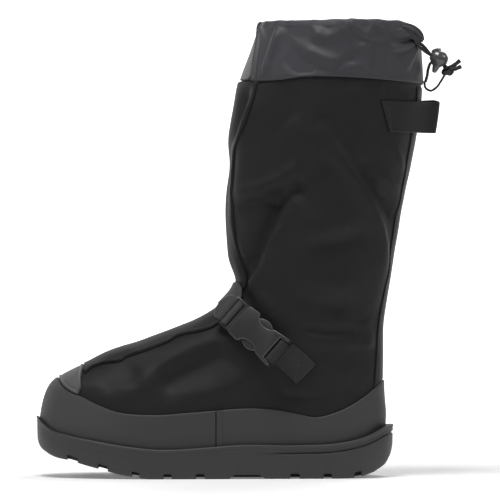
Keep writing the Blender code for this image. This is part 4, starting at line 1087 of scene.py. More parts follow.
share = edged(240, 0.006)
hem_rows = np.concatenate([[0.0, 0.004, 0.012], np.linspace(0.03, 1.0, 56)])
ring = np.full((len(hem_rows), len(share)), 20.0)
front_line = [(z, x) for x, z in CUFF_FRONT]
for _ in range(3):
    starts = angle_at_place(ring.mean(axis=1), front_line)
    angle = starts[:, None] + (2 * math.pi - 2 * starts[:, None]) * share
    hem = ring_at_height(angle[0], CUFF_HEM, 17.0, 20.5)
    ring = hem + (COLLAR_RING - hem) * hem_rows[:, None]
smooth = upper_surface(angle, ring).reshape(*angle.shape, 3)
x, y, z = (smooth[..., axis].ravel() for axis in range(3))
soft = np.where(np.sin(angle.ravel()) > 0, fold_relief(x, z, CUFF_FOLDS), 0.8 * fold_relief(x + 6, z - 2, CUFF_FOLDS))
gather_turn = np.cumsum(np.full(angle.shape, 0.55), axis=1).ravel() + 0.5 * np.sin(x * 0.09)
gather = 0.45 * np.sin(gather_turn) * soft_step(z, 380, 398)
side_share = soft_step(np.abs(np.sin(angle.ravel())), 0.02, 0.25)
rumpled = soft * side_share + 0.4 * small_creases(1.3 * x, y, 1.2 * z) + gather
rumpled = CUFF_RUMPLE * rumpled.reshape(angle.shape) * soft_step(hem_rows, 0.0, 0.12)[:, None]
from_edge = np.minimum(share, 1 - share) * (2 * math.pi - 2 * starts[:, None]) * SHAFT_RADIUS
rumpled = rumpled + CUFF_LIP * np.exp(-((from_edge / LIP_REACH) ** 2))
rumpled = rumpled - CUFF_TROUGH * np.exp(-(((from_edge - TROUGH_FROM_EDGE) / TROUGH_REACH) ** 2))
rumpled = np.maximum(rumpled, CUFF_LOWEST)
outside = on_upper(angle, ring, GAP + CUFF_WALL * (0.75 + 0.25 * soft_step(hem_rows, 0, 0.02))[:, None] + rumpled)
collar_angle = angle[-1]
collar = on_upper(collar_angle, COLLAR_RING, 0.0)
swing = rumpled[-1]
fold_loops = []
for step, (distance, rise) in enumerate(CUFF_FOLD):
    loop = on_upper(collar_angle, COLLAR_RING, distance + swing * max(0.0, 1 - step / 6))
    loop[:, 2] = collar[:, 2] + rise + 0.35 * swing
    fold_loops.append(loop)
inside = on_upper(angle[:-1], ring[:-1], GAP)
inside = np.concatenate([inside, on_upper(collar_angle, COLLAR_RING, GAP)[None]])
cuff = skin("cuff_collar", np.concatenate([outside, fold_loops]), taffeta, around=False, inner=inside)
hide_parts("cuff")
hem_line = outside[5]

# The channel's mouth
# At the back of the outer side the drawcord's channel ends in a puckered tube, which the cords pull down.
CHANNEL_MOUTH = (
    (150.0, -36.0, 395.5), (162.0, -34.6, 396.2), (172.5, -31.0, 393.6), (178.6, -27.6, 388.6), (180.2, -25.6, 384.4),
)  # fmt: skip
MOUTH_RADIUS = (1.5, 4.6, 4.9, 4.6, 3.7)
MOUTH_PLEATS = 7
PLEAT_DEPTH = 0.24
MOUTH_RINGS = 54
MOUTH_COLUMNS = 63
points, _ = smooth_route(CHANNEL_MOUTH, MOUTH_RINGS)
run = np.linspace(0, 1, MOUTH_RINGS)
radius = line_at(list(zip(np.linspace(0, 1, 5), MOUTH_RADIUS)), run)
back_in = points[-1] - np.outer((0.4, 1.6, 3.2), points[-1] - points[-6]) / np.linalg.norm(points[-1] - points[-6])
rings = tube_grid(np.concatenate([points, back_in]), np.concatenate([radius, [2.9, 2.5, 2.2]]), MOUTH_COLUMNS)
centres = rings.mean(axis=1, keepdims=True)
turn = 2 * math.pi * np.arange(MOUTH_COLUMNS) / MOUTH_COLUMNS
pucker = np.concatenate([soft_step(run, 0.15, 0.8), [0.8, 0.5, 0.3]])
wave = PLEAT_DEPTH * np.cos(MOUTH_PLEATS * turn) + 0.05 * np.cos(3 * turn + 1.0)
rings = centres + (rings - centres) * (1 + pucker[:, None, None] * wave[None, :, None])
mouth = skin("cuff_channel_mouth", rings, taffeta, closed="fans", sharp=75.0)


# Cup sole
# One moulding of black rubber: a tread of lugs, a plain side wall and a bevelled lip round the cup that the upper is
# glued into. A groove runs under the lip round the heel.
CUP_GAP = 0.5
TREAD_INSET = 2.0
WALL_FOOT = (0.7, 2.5)
WALL_INSET = 0.3
BEAD_DROP = 7.2
BEAD_HALF = 1.6
BEAD_GROOVE = 1.4
LIP_STEP = 0.6
LUG_DEPTH = 4.5
TREAD_LINE = (
    (-157.5, 30.5), (-156.2, 28.5), (-148.2, 21.9), (-138.7, 17.9), (-130, 16.4), (-112, 11.4), (-98.6, 8.0),
    (-83.6, 4.0), (-69.5, 1.8), (-57, 0.0), (-40, 0.0), (95, 0.0), (110, 0.0), (130.1, 2.3), (143.6, 7.8),
    (152.2, 15.2), (155.9, 22.7), (157.0, 26.0),
)  # fmt: skip
RIM_LINE = (
    (-158.5, 54.1), (-154.4, 50.4), (-144.6, 42.7), (-131.5, 38.7), (-104.5, 33.2), (-75.2, 28.5), (-49, 26.0),
    (-13.5, 27.4), (20.2, 29.9), (73, 29.7), (106.7, 31.1), (121.4, 33.6), (132.3, 36.6), (143.3, 41.6),
    (151.3, 45.6), (158.0, 47.0),
)  # fmt: skip
LIP_WIDTH = ((0.0, 2.6), (0.1, 3.4), (0.3, 4.4), (0.7, 4.8), (0.9, 6.0), (1.0, 6.6))
LUG_GAPS = (
    (-130, -120), (-102.6, -93.5), (-73, -65.7), (-45.3, -37.5), (-16.9, -8.8), (65.9, 74.8), (95.1, 103.1),
    (122.2, 129),
)  # fmt: skip
ARCH_GAP = ((12.3, 0.0), (17.5, 3.6), (39.0, 3.6), (44.4, 0.0))
TREAD_CHANNELS = (-17.0, 17.0)
CHANNEL_WIDTH = 6.0
LUG_INNER_END = 16.0
CENTRE_HALF = 16.0
CENTRE_GAPS = ((-58.0, -51.0), (-30.0, -23.0), (-4.0, 3.0), (51.0, 57.5), (81.5, 88.0), (108.0, 114.0))
CHANNEL_PLACES = (-118.0, -98.0, -84.0, -70.0, -57.0, 120.0)
CHANNEL_DEPTH = 3.8
BELOW_FLOOR = -10.0
SOLE_COLUMNS = 216

sole_finish = Finish("sole_rubber", (0.04, 0.04, 0.0425), 0.55)
grain = sole_finish.noise(0.7, 2.0, 0.6)
cloud = sole_finish.noise(26.0, 3.0)
sole_finish.colour_between((cloud * 0.6 + grain * 0.4).between(0.3, 0.7), (0.03, 0.03, 0.032), (0.042, 0.042, 0.0445))
sole_finish.feed("Roughness", grain * 0.14 + cloud * 0.12 + 0.44)
sole_finish.raise_by(grain, 0.16)

sole_angles = 2 * math.pi * np.arange(SOLE_COLUMNS) / SOLE_COLUMNS
along = (1 - np.cos(sole_angles)) / 2
heel_share = soft_step(along, 0.60, 0.74)
rim_ring = ring_at_height(sole_angles, RIM_LINE, 0.0, 6.0)
rim_inner = upper_surface(sole_angles, rim_ring)
outward = (on_upper(sole_angles, rim_ring, 1.0) - rim_inner)[:, :2]
outward /= np.linalg.norm(outward, axis=1)[:, None]


def sole_loop(inset, height):
    reach = GAP + RAND_WALL + line_at(LIP_WIDTH, along) - inset
    plan = rim_inner[:, :2] + outward * reach[:, None]
    return np.column_stack([plan, height(plan[:, 0])])


def tread_at(x):
    return np.maximum(line_at(TREAD_LINE, x), 0.0)


def below_rim(drop):
    return lambda x: line_at(RIM_LINE, x) - drop


sole_loops = [
    sole_loop(TREAD_INSET, tread_at),
    sole_loop(TREAD_INSET - 0.6, lambda x: tread_at(x) + 0.7),
    sole_loop(WALL_FOOT[0], lambda x: tread_at(x) + WALL_FOOT[1]),
    sole_loop(WALL_INSET, below_rim(BEAD_DROP + 2 * BEAD_HALF)),
    sole_loop(WALL_INSET, below_rim(BEAD_DROP + BEAD_HALF)),
    sole_loop(WALL_INSET + 0.8 * BEAD_GROOVE * heel_share, below_rim(BEAD_DROP + 0.5)),
    sole_loop(WALL_INSET + BEAD_GROOVE * heel_share, below_rim(BEAD_DROP)),
    sole_loop(WALL_INSET + 0.5 * BEAD_GROOVE * heel_share, below_rim(BEAD_DROP - 0.8)),
    sole_loop(0.1, below_rim(BEAD_DROP - BEAD_HALF)),
    sole_loop(0.3, below_rim(3.4)),
    sole_loop(0.2, below_rim(2.9)),
    sole_loop(-0.3, below_rim(2.3)),
    sole_loop(-0.45, below_rim(1.7)),
    sole_loop(-0.2, below_rim(0.9)),
    sole_loop(0.6, below_rim(0.2)),
    sole_loop(1.5, below_rim(0.05)),
    sole_loop(2.0, below_rim(0.7)),
]
clear = GAP + RAND_WALL + CUP_GAP
lip = on_upper(sole_angles, rim_ring, clear)
lip[:, 2] = line_at(RIM_LINE, lip[:, 0]) - LIP_STEP
cup_wall = on_upper(sole_angles, rim_ring / 2, clear)
cup_floor = on_upper(sole_angles, np.zeros(SOLE_COLUMNS), clear)
cup_floor[:, 2] = line_at(BED_LINE, cup_floor[:, 0])
sole = skin("cup_sole", [*sole_loops, lip, cup_wall, cup_floor], sole_finish, closed="rungs", sharp=38.0)


def prism_faces(count):
    """The faces of a prism over an outline of count points: its near end, its far end and its sides."""
    ends = [list(range(count)), list(range(2 * count - 1, count - 1, -1))]
    return ends + [[i, i + count, (i + 1) % count + count, (i + 1) % count] for i in range(count)]


def side_cutter(outline, y_low, y_high):
    """A helper solid: an outline of the side view drawn through from one y to the other."""
    points = [(x, y, z) for y in (y_low, y_high) for x, z in outline]
    mesh = bpy.data.meshes.new("cutter")
    mesh.from_pydata(in_row(points), [], prism_faces(len(outline)))
    shape = bmesh.new()
    shape.from_mesh(mesh)
    bmesh.ops.recalc_face_normals(shape, faces=shape.faces)
    shape.to_mesh(mesh)
    shape.free()
    return linked("cutter", mesh)


gap_outlines = []
for start, end in LUG_GAPS:
    tops = line_at(TREAD_LINE, [start, end]) + LUG_DEPTH
    outline = [(start, BELOW_FLOOR), (end, BELOW_FLOOR), (end - 0.3, tops[1] - 0.8), (end - 1.1, tops[1])]
    gap_outlines.append([*outline, (start + 1.1, tops[0]), (start + 0.3, tops[0] - 0.8)])
gap_outlines.append([(ARCH_GAP[0][0], BELOW_FLOOR), *ARCH_GAP, (ARCH_GAP[-1][0], BELOW_FLOOR)])
cutters = []
for outline in gap_outlines:
    for y_low, y_high in ((-90, -LUG_INNER_END), (LUG_INNER_END, 90)):
        cutters.append(side_cutter(outline, y_low, y_high))
for start, end in CENTRE_GAPS:
    top = LUG_DEPTH - 0.5
    outline = [(start, BELOW_FLOOR), (end, BELOW_FLOOR), (end - 0.8, top), (start + 0.8, top)]
    cutters.append(side_cutter(outline, 0.6 - CENTRE_HALF, CENTRE_HALF - 0.6))
channel_top = line_at(TREAD_LINE, CHANNEL_PLACES) + CHANNEL_DEPTH
outline = [(CHANNEL_PLACES[0], BELOW_FLOOR), *zip(CHANNEL_PLACES, channel_top), (CHANNEL_PLACES[-1], BELOW_FLOOR)]
for y in TREAD_CHANNELS:
    cutters.append(side_cutter(outline, y - CHANNEL_WIDTH / 2, y + CHANNEL_WIDTH / 2))
cut_by(sole, cutters)
applied(sole, 38.0, cutters)
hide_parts("outsole")


# Insole
# A loose pressed-fibre board lies in the shell under the shoe. It shows from above, deep in the shaft.
INSOLE_WALL = 3.0
INSOLE_RING = 0.2
INSOLE_EDGE = (
    # distance in from the edge, height over the bed
    (1.0, GAP), (0.1, GAP + 0.5), (0.0, GAP + 1.2), (0.0, GAP + INSOLE_WALL - 0.5), (0.5, GAP + INSOLE_WALL),
)  # fmt: skip
board = Finish("insole_board", (0.06, 0.06, 0.06), 0.92)
fibre = board.noise(1.4, 4.0, 0.75)
board.colour_between(fibre.between(0.3, 0.7), (0.04, 0.04, 0.04), (0.085, 0.085, 0.084))
board.raise_by(fibre, 0.4)
inset = -(UPPER_WALL + 3 * GAP)
board_loops = []
for distance, rise in INSOLE_EDGE:
    loop = on_upper(sole_angles, np.full(SOLE_COLUMNS, INSOLE_RING), inset - distance)
    loop[:, 2] = line_at(BED_LINE, loop[:, 0]) + rise
    board_loops.append(loop)
insole = skin("insole_sheet", board_loops, board, closed="rungs")
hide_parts("insole")


# Buckle
# A side-release buckle of black acetal. The half with the two sprung prongs is also the ladder that the strap is
# threaded through, and it is pushed into the housing that the short webbing holds. Its edges are softly rounded.
BUCKLE_BAR = (13.8, 146.0)
BUCKLE_HEEL_END = (52.8, 112.4)
BUCKLE_WALL = 6.6
HOUSING_LINE = ((14.9, 13.4), (17.0, 15.0), (26.0, 15.6), (46.0, 12.8), (57.0, 14.4), (64.0, 14.9), (64.5, 12.6))
WINDOW_AT = (38.0, 15.6)
WINDOW_HALF = (10.2, 6.6)
PRESS_PAD = (
    (27.2, 9.3), (46.8, 9.3), (46.9, 10.6), (45.4, 12.4), (42.6, 14.2), (39.0, 15.2), (35.4, 15.0), (31.8, 13.6),
    (28.8, 11.8), (27.2, 10.4),
)  # fmt: skip


def settle(points, angle, ring, axes=(0, 1, 2)):
    """The angle and ring of the upper nearest to points, from a first guess, in all directions or in some alone."""
    points = np.asarray(points, float)
    angle, ring = np.array(angle, float), np.array(ring, float)
    axes = list(axes)
    little = 0.01
    for _ in range(14):
        here = upper_surface(angle, ring)
        by_angle = (upper_surface(angle + little, ring) - upper_surface(angle - little, ring)) / (2 * little)
        by_ring = (upper_surface(angle, ring + little) - upper_surface(angle, ring - little)) / (2 * little)
        miss = (points - here)[:, axes]
        a, r = by_angle[:, axes], by_ring[:, axes]
        aa, ar, rr = (a * a).sum(1), (a * r).sum(1), (r * r).sum(1)
        ma, mr = (miss * a).sum(1), (miss * r).sum(1)
        det = aa * rr - ar * ar + 1e-6
        angle = angle + np.clip((ma * rr - mr * ar) / det, -0.3, 0.3)
        ring = np.clip(ring + np.clip((mr * aa - ma * ar) / det, -1.5, 1.5), 0.02, COLLAR_RING - 0.02)
    return angle, ring


def at_side_view(places, side):
    """The angle and ring of the upper where side-view places lie on its outer or inner side."""
    places = np.asarray(places, float)
    guesses = np.meshgrid(np.linspace(0.06, math.pi - 0.06, 60), np.linspace(0.2, COLLAR_RING - 0.2, 90))
    guess_angle, guess_ring = (guess.ravel() for guess in guesses)
    seen = upper_surface(guess_angle, guess_ring)[:, [0, 2]]
    nearest = np.array([np.argmin(((seen - place) ** 2).sum(axis=1)) for place in places])
    points = np.column_stack([places[:, 0], np.zeros(len(places)), places[:, 1]])
    angle, ring = settle(points, guess_angle[nearest], guess_ring[nearest], axes=(0, 2))
    return (angle if side == "outer" else -angle), ring


bar_point, end_point = upper_surface(*at_side_view([BUCKLE_BAR, BUCKLE_HEEL_END], "outer"))
along_strap = (end_point - bar_point) / np.linalg.norm(end_point - bar_point)
side_step = 10 * np.array((-along_strap[2], along_strap[0]))
middle = (bar_point + end_point)[[0, 2]] / 2
above, below = upper_surface(*at_side_view([middle + side_step, middle - side_step], "outer"))
across_strap = (above - below) / np.linalg.norm(above - below)
off_shoe = np.cross(across_strap, along_strap)
off_shoe *= -np.sign(off_shoe[1]) / np.linalg.norm(off_shoe)
across_strap = np.cross(off_shoe, along_strap)
across_strap /= np.linalg.norm(across_strap)
buckle_axes = np.array([along_strap, across_strap, off_shoe])
housing_box = np.array(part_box("buckle_female")) / MM - ROW_SHIFT
corners = np.array([(a, s * b, t * BUCKLE_WALL / 2) for a, b in HOUSING_LINE for s in (-1, 1) for t in (-1, 1)])
corners = corners @ buckle_axes
buckle_base = housing_box.mean(axis=0) - (corners.min(axis=0) + corners.max(axis=0)) / 2


def on_buckle(points):
    """Points given along, across and off the buckle's middle plane, from its ladder's end."""
    return np.asarray(points, float) @ buckle_axes + buckle_base


acetal = Finish("buckle_acetal", (0.045, 0.045, 0.047), 0.36)
scuff = acetal.noise(6.0, 4.0, 0.65)
fine = acetal.noise(0.6, 2.0)
# The faces of the rounded edges are painted paler: a painted highlight along the buckle's edges, over its random
# scuffed tone.
painted_edge_highlight = acetal.add("ShaderNodeAttribute", {"attribute_name": "painted_edge_highlight"}, output=2)
shade = scuff.between(0.3, 0.75) * 0.2 + painted_edge_highlight * (0.45 + scuff * 0.35)
acetal.colour_between(shade, (0.021, 0.021, 0.022), (0.12, 0.12, 0.124))
acetal.feed("Roughness", scuff * 0.16 + fine * 0.06 + 0.26)
acetal.raise_by(fine * 0.6 + scuff * 0.4, 0.08)


def buckle_plate(name, outline, low, high):
    """A flat prism in the buckle's own plane, from an outline of (along, across) and its reach off the shoe."""
    points = [(a, c, off) for off in (low, high) for a, c in outline]
    mesh = bpy.data.meshes.new(name)
    mesh.from_pydata(in_row(on_buckle(points)), [], prism_faces(len(outline)))
    return mesh


def softened(piece, width, cutters=()):
    """Cuts a moulding, rounds its edges and marks the faces of its rounded edges, which its finish paints paler as a
    painted highlight.
    """
    cut_by(piece, cutters)
    rounding = piece.modifiers.new("rounding", "BEVEL")
    rounding.width = width * MM
    rounding.segments = 3
    rounding.limit_method = "ANGLE"
    rounding.angle_limit = math.radians(30)
    rounding.use_clamp_overlap = True
    made = applied(piece, 40.0, cutters)
    # Faces that lean between the flat faces and the walls are marked for the painted highlight.
    painted_edge_highlight = made.attributes.new("painted_edge_highlight", "FLOAT", "FACE")
    normals = np.array([face.normal for face in made.polygons]) @ buckle_axes.T
    tilt = np.abs(normals[:, 2])
    painted_edge_highlight.data.foreach_set("value", ((tilt > 0.25) & (tilt < 0.97)).astype(np.float32))


def own_moulding(node, name, finish):
    """The node's own solid as a merged mesh, ready to be cut and rounded."""
    mesh = nodes[node].data.copy()
    mesh.materials.clear()
    shape = bmesh.new()
    shape.from_mesh(mesh)
    bmesh.ops.remove_doubles(shape, verts=shape.verts, dist=2e-6)
    bmesh.ops.dissolve_limit(shape, angle_limit=math.radians(2), verts=shape.verts, edges=shape.edges)
    shape.to_mesh(mesh)
    shape.free()
    piece = finished(name, mesh, finish, sharp=32.0)
    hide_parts(node)
    return piece


softened(own_moulding("buckle_male", "buckle_ladder", acetal), 0.4)
windows = []
for side in (-1, 1):
    outline = []
    for turn in np.linspace(0, 2 * math.pi, 32, endpoint=False):
        across = WINDOW_AT[1] + WINDOW_HALF[1] * math.sin(turn)
        outline.append((WINDOW_AT[0] + WINDOW_HALF[0] * math.cos(turn), side * across))
    windows.append(finished("window_cutter", buckle_plate("window_cutter", outline, -6.0, 6.0), acetal))
housing = own_moulding("buckle_female", "buckle_housing", acetal)
softened(housing, 0.6, windows)
for number, side in enumerate((-1, 1)):
    outline = [(a, side * c) for a, c in PRESS_PAD]
    pad = finished(f"press_pad_{number}", buckle_plate("press_pad", outline, -1.9, 1.9), acetal)
    softened(pad, 0.5)


# Instep strap
# Nylon webbing an inch wide crosses the instep from its seat on the inner side. It goes under the buckle's ladder,
# up through one slot and down through the other, and its rounded tail lies back over it.
STRAP_WIDTH = 25.4
STRAP_WALL = 1.5
STRAP_CLEAR = 0.5
STRAP_INNER_PLACES = ((24.0, 143.0), (47.0, 119.5), (71.0, 95.0))
STRAP_OUTER_PLACES = ((13.6, 145.6), (19.5, 140.4))
STRAP_FRONT_RING = 11.36
STRAP_STEP = (0.62, 1.0)
TAIL_ROUND = 7.0
TAIL_HALF = 12.0
TAIL_WALL = 1.1


def webbing(name, colour, rib):
    """Flat woven webbing: fine ribs across it, a fine twill and a little fuzz."""
    finish = Finish(name, colour, 0.68)
    u, v = finish.cloth_place()
    ribs = v.wave(rib) * 0.5 + 0.5
    twill = (u + v).wave(1.9) * 0.5 + 0.5
    fuzz = finish.noise(0.8, 3.0, 0.7)
    shade = ribs * 0.4 + twill * 0.2 + fuzz * 0.4
    finish.colour_between(shade.between(0.2, 0.85), [c * 0.7 for c in colour], [c * 1.35 for c in colour])
    finish.raise_by(ribs * 0.5 + twill * 0.25 + fuzz * 0.25, 0.35)
    return finish


def ribbon_grid(path_angle, path_ring, width, rows):
    """Angles and rings of a flat ribbon laid along a path on the upper, one row for each place across it."""
    key = np.linspace(0, 1, len(path_angle))
    fine = np.linspace(0, 1, rows)
    angle, ring = spline_weights(key, fine) @ np.array(path_angle), spline_weights(key, fine) @ np.array(path_ring)
    points = upper_surface(angle, ring)
    run = np.concatenate([[0], np.cumsum(np.linalg.norm(np.diff(points, axis=0), axis=1))])
    even = np.linspace(0, run[-1], rows)
    angle, ring = np.interp(even, run, angle), np.interp(even, run, ring)
    points = upper_surface(angle, ring)
    way = np.gradient(points, axis=0)
    way /= np.linalg.norm(way, axis=1)[:, None]
    sideways = np.cross(upper_normal(angle, ring), way)
    places = edged(12, 0.05) * width - width / 2
    grid_angle, grid_ring = [], []
    for place in places:
        a, r = settle(points + sideways * place, angle, ring)
        grid_angle.append(a)
        grid_ring.append(r)
    return np.array(grid_angle), np.array(grid_ring)


strap_finish = webbing("strap_webbing", (0.036, 0.036, 0.037), 1.3)
outer_angles, outer_rings = at_side_view(STRAP_OUTER_PLACES, "outer")
inner_angles, inner_rings = at_side_view(STRAP_INNER_PLACES, "inner")
path_angle = [*outer_angles[::-1], 0.32, 0.0, -0.32, *inner_angles]
path_ring = [*outer_rings[::-1], STRAP_FRONT_RING + 0.02, STRAP_FRONT_RING, STRAP_FRONT_RING - 0.05, *inner_rings]
angle, ring = ribbon_grid(path_angle, path_ring, STRAP_WIDTH, 150)
from_front = np.where(angle < 0, -angle, angle)
near, far = STRAP_STEP
under = STRAP_CLEAR + (PLEAT_WALL + 2 * GAP - STRAP_CLEAR) * soft_step(-from_front, -far, -near)
strap_angle, strap_ring = angle, ring
strap = layer("strap_band", angle, ring, STRAP_WALL, strap_finish, lift=under, relief=0.0, edge=0.6)
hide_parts("instep_strap")


def bent_ribbon(name, profile, half_width, thickness, finish, rounded_end=0.0):
    """A strip of webbing that follows a line seen across the buckle, from rows of (along, off)."""
    line, length = smooth_route([(a, 0.0, c) for a, c in profile], 64)
    way = np.gradient(line, axis=0)
    way /= np.linalg.norm(way, axis=1)[:, None]
    off = np.cross(way, (0.0, 1.0, 0.0))
    run = np.linspace(0, length, len(line))
    spread = np.clip(2 * edged(10, 0.05) - 1, -1, 1)
    half = np.full(len(line), half_width)
    if rounded_end:
        left = np.clip((length - run) / rounded_end, 0.0, 1.0)
        half = half_width * np.sqrt(np.clip(1 - (1 - left) ** 2, 0.0, 1.0)) + 0.05
    faces = []
    for turn_side in (1, -1):
        rows = [line + off * turn_side * thickness / 2 + np.column_stack([0 * run, half * s, 0 * run]) for s in spread]
        faces.append(on_buckle(np.array(rows).reshape(-1, 3)).reshape(len(spread), len(line), 3))
    return skin(name, faces[0], finish, around=False, inner=faces[1], sharp=60.0)


loop_line = (
    (1.2, -2.4), (3.0, -1.4), (3.9, 1.2), (5.6, 2.6), (7.8, 2.75), (9.3, 1.6), (9.8, -0.8), (12.5, -2.2), (16.0, -2.3),
)  # fmt: skip
threaded = bent_ribbon("strap_in_ladder", loop_line, TAIL_HALF, TAIL_WALL, strap_finish)
tail_line = ((3.4, 0.6), (2.4, 2.2), (0.6, 2.9), (-2.4, 2.9), (-5.2, 2.6), (-8.2, 2.1))
tail = bent_ribbon("strap_tail", tail_line, TAIL_HALF, TAIL_WALL, strap_finish, rounded_end=TAIL_ROUND)
line, length = smooth_route([(a, 0.0, c) for a, c in tail_line], 64)
left = np.concatenate([np.linspace(TAIL_ROUND, 1.0, 10), 1.0 * np.linspace(1, 0, 14)[1:] ** 2])
at_line = np.column_stack([np.interp(length - left, np.linspace(0, length, 64), line[:, axis]) for axis in range(3)])
half = TAIL_HALF * np.sqrt(1 - (1 - left / TAIL_ROUND) ** 2)
edge_route = np.concatenate([at_line - np.outer(half, (0, 1, 0)), (at_line + np.outer(half, (0, 1, 0)))[-2::-1]])
edge_route, _ = smooth_route(on_buckle(edge_route), 90)
# The bead along the tail's sealed edge is painted much paler than the webbing: a painted highlight where the edge
# catches the light.
sealed_edge_and_highlight = Finish("sealed_webbing_edge_painted_highlight", (0.09, 0.09, 0.092), 0.5)
sealed_edge_and_highlight.raise_by(sealed_edge_and_highlight.noise(0.7, 3.0), 0.25)
tail_edge = skin("strap_tail_edge", tube_grid(edge_route, 0.62, 10), sealed_edge_and_highlight, closed="fans")


# Strap anchor
# A short square of finer webbing holds the housing. Its end loops round the housing's bar, and its square is sewn to
# the shell with a box of stitches.
ANCHOR_PLACES = ((59.6, 110.2), (67.0, 104.0), (73.6, 98.2), (80.3, 91.0))
ANCHOR_WALL = 2.0
ANCHOR_WIDTH = 24.6
anchor_finish = webbing("anchor_webbing", (0.01, 0.01, 0.0104), 1.1)
anchor_angles, anchor_rings = at_side_view(ANCHOR_PLACES, "outer")
angle, ring = ribbon_grid(anchor_angles, anchor_rings, ANCHOR_WIDTH, 44)
anchor_angle, anchor_ring = angle, ring
anchor = layer("anchor_square", angle, ring, ANCHOR_WALL - 0.2, anchor_finish, relief=0.0, edge=0.6)
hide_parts("strap_anchor")
bar_line = ((66.0, -2.4), (63.6, -2.3), (61.4, -2.0), (59.4, -2.1), (58.1, -1.6), (57.8, 0.0), (58.2, 1.7), (59.8, 2.1),
            (61.8, 1.6), (63.6, -0.2), (66.0, -1.3))  # fmt: skip
anchor_loop = bent_ribbon("anchor_loop", bar_line, 10.8, 0.7, anchor_finish)


# Pull tab
# A folded loop of satin-woven tape is sewn to both sides of the heel seam under the cuff, for pulling the shoe on.
# Its outer face is plain.
TAB_WALL = 1.4
TAB_STARTS_AT = (0.845, 0.775)
TAB_FAR_RISE = 2.2
TAB_LEAVES_AT = 0.9
TAB_EDGES = ((304.0, 195.6), (331.5, 199.2))
TAB_FOLD_RADIUS = 4.0

tab_finish = Finish("tab_tape", (0.014, 0.014, 0.0145), 0.5, Specular_IOR_Level=0.25)
u, v = tab_finish.cloth_place()
twill = (u * 0.8 + v).wave(0.8) * 0.5 + 0.5
fuzz = tab_finish.noise(1.4, 2.0)
edge_band = (v - 13.7).size().between(11.4, 12.2)
tab_finish.colour_between((twill * 0.3 + fuzz * 0.7).between(0.25, 0.8), (0.011, 0.011, 0.0115), (0.018, 0.018, 0.0188))
tab_finish.feed("Roughness", fuzz * 0.2 + 0.4)
tab_finish.raise_by(twill * 0.3 + fuzz * 0.3 + edge_band * 0.4, 0.3)


def tab_leg(side, ring, fold_x, starts_at):
    """Plan points of one leg's middle, from its sewn end to the fold."""
    points = []
    for share in np.linspace(starts_at, TAB_LEAVES_AT, 10):
        angle = side * math.acos(1 - 2 * share)
        points.append(on_upper(angle, ring, GAP + TAB_WALL / 2).reshape(3)[:2])
    leave, before = points[-1], points[-2]
    direction = (leave - before) / np.linalg.norm(leave - before)
    fold = np.array([fold_x - TAB_WALL / 2 - TAB_FOLD_RADIUS, -side * TAB_FOLD_RADIUS])
    first = leave + direction * np.linalg.norm(fold - leave) * 0.45
    second = fold - np.array([TAB_FOLD_RADIUS, 0.0])
    for t in np.linspace(0, 1, 16)[1:]:
        start_part = (1 - t) ** 3 * leave + 3 * t * (1 - t) ** 2 * first
        points.append(start_part + 3 * t * t * (1 - t) * second + t**3 * fold)
    return points


tab_rows = []
for (height, fold_x), starts_at in zip(TAB_EDGES, TAB_STARTS_AT):
    flat = ((0, height), (300, height))
    ring = ring_at_height([math.pi * 0.75], flat, 14.0, 21.0)[0]
    centre_x = fold_x - TAB_WALL / 2 - TAB_FOLD_RADIUS
    turn_points = []
    for step in np.linspace(-75, 75, 11):
        bend = math.radians(step)
        turn_points.append(np.array([centre_x + TAB_FOLD_RADIUS * math.cos(bend), TAB_FOLD_RADIUS * math.sin(bend)]))
    legs = [tab_leg(side, ring, fold_x, starts_at) for side in (1, -1)]
    plan = np.array([*legs[0], *turn_points, *reversed(legs[1])])
    run = np.linspace(0, 1, len(plan))
    rise = TAB_FAR_RISE * soft_step(run, 0.46, 0.62) * soft_step(1 - run, 0.12, 0.3)
    tab_rows.append(np.column_stack([plan, height + rise]))
low_row, high_row = tab_rows
tab_faces = []
heights = edged(12, 0.03)
rounded = np.sqrt(1 - (1 - np.clip(np.minimum(heights, 1 - heights) / 0.03, 0, 1)) ** 2)
for face in (1, -1):
    rows = []
    for share, thick in zip(heights, rounded):
        row = low_row + (high_row - low_row) * share
        way = np.gradient(row[:, :2], axis=0)
        way /= np.linalg.norm(way, axis=1)[:, None]
        bulge = 0.35 * math.sin(math.pi * share) * np.clip((row[:, 0] - 182) / 10, 0, 1)
        outward_way = np.column_stack([way[:, 1], -way[:, 0], np.zeros(len(row))])
        rows.append(row + outward_way * (face * TAB_WALL / 2 * (0.45 + 0.55 * thick) + bulge)[:, None])
    tab_faces.append(np.array(rows))
tab = skin("tab_loop", tab_faces[0], tab_finish, around=False, inner=tab_faces[1], sharp=55.0)
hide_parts("pull_tab")


# Stitches
# Bonded polyester thread in lock stitch, black like the cloth: along the cuff's hem, both edges of the backstay and
# of the grey tape, across the ends of the pull tab and of the strap, and in a crossed box on the strap's anchor.
THREAD_WIDTH = 0.55
# from one stitch to the next, and a stitch's own length
CLOTH_STITCH = (3.0, 2.2)
WEBBING_STITCH = (2.4, 1.8)


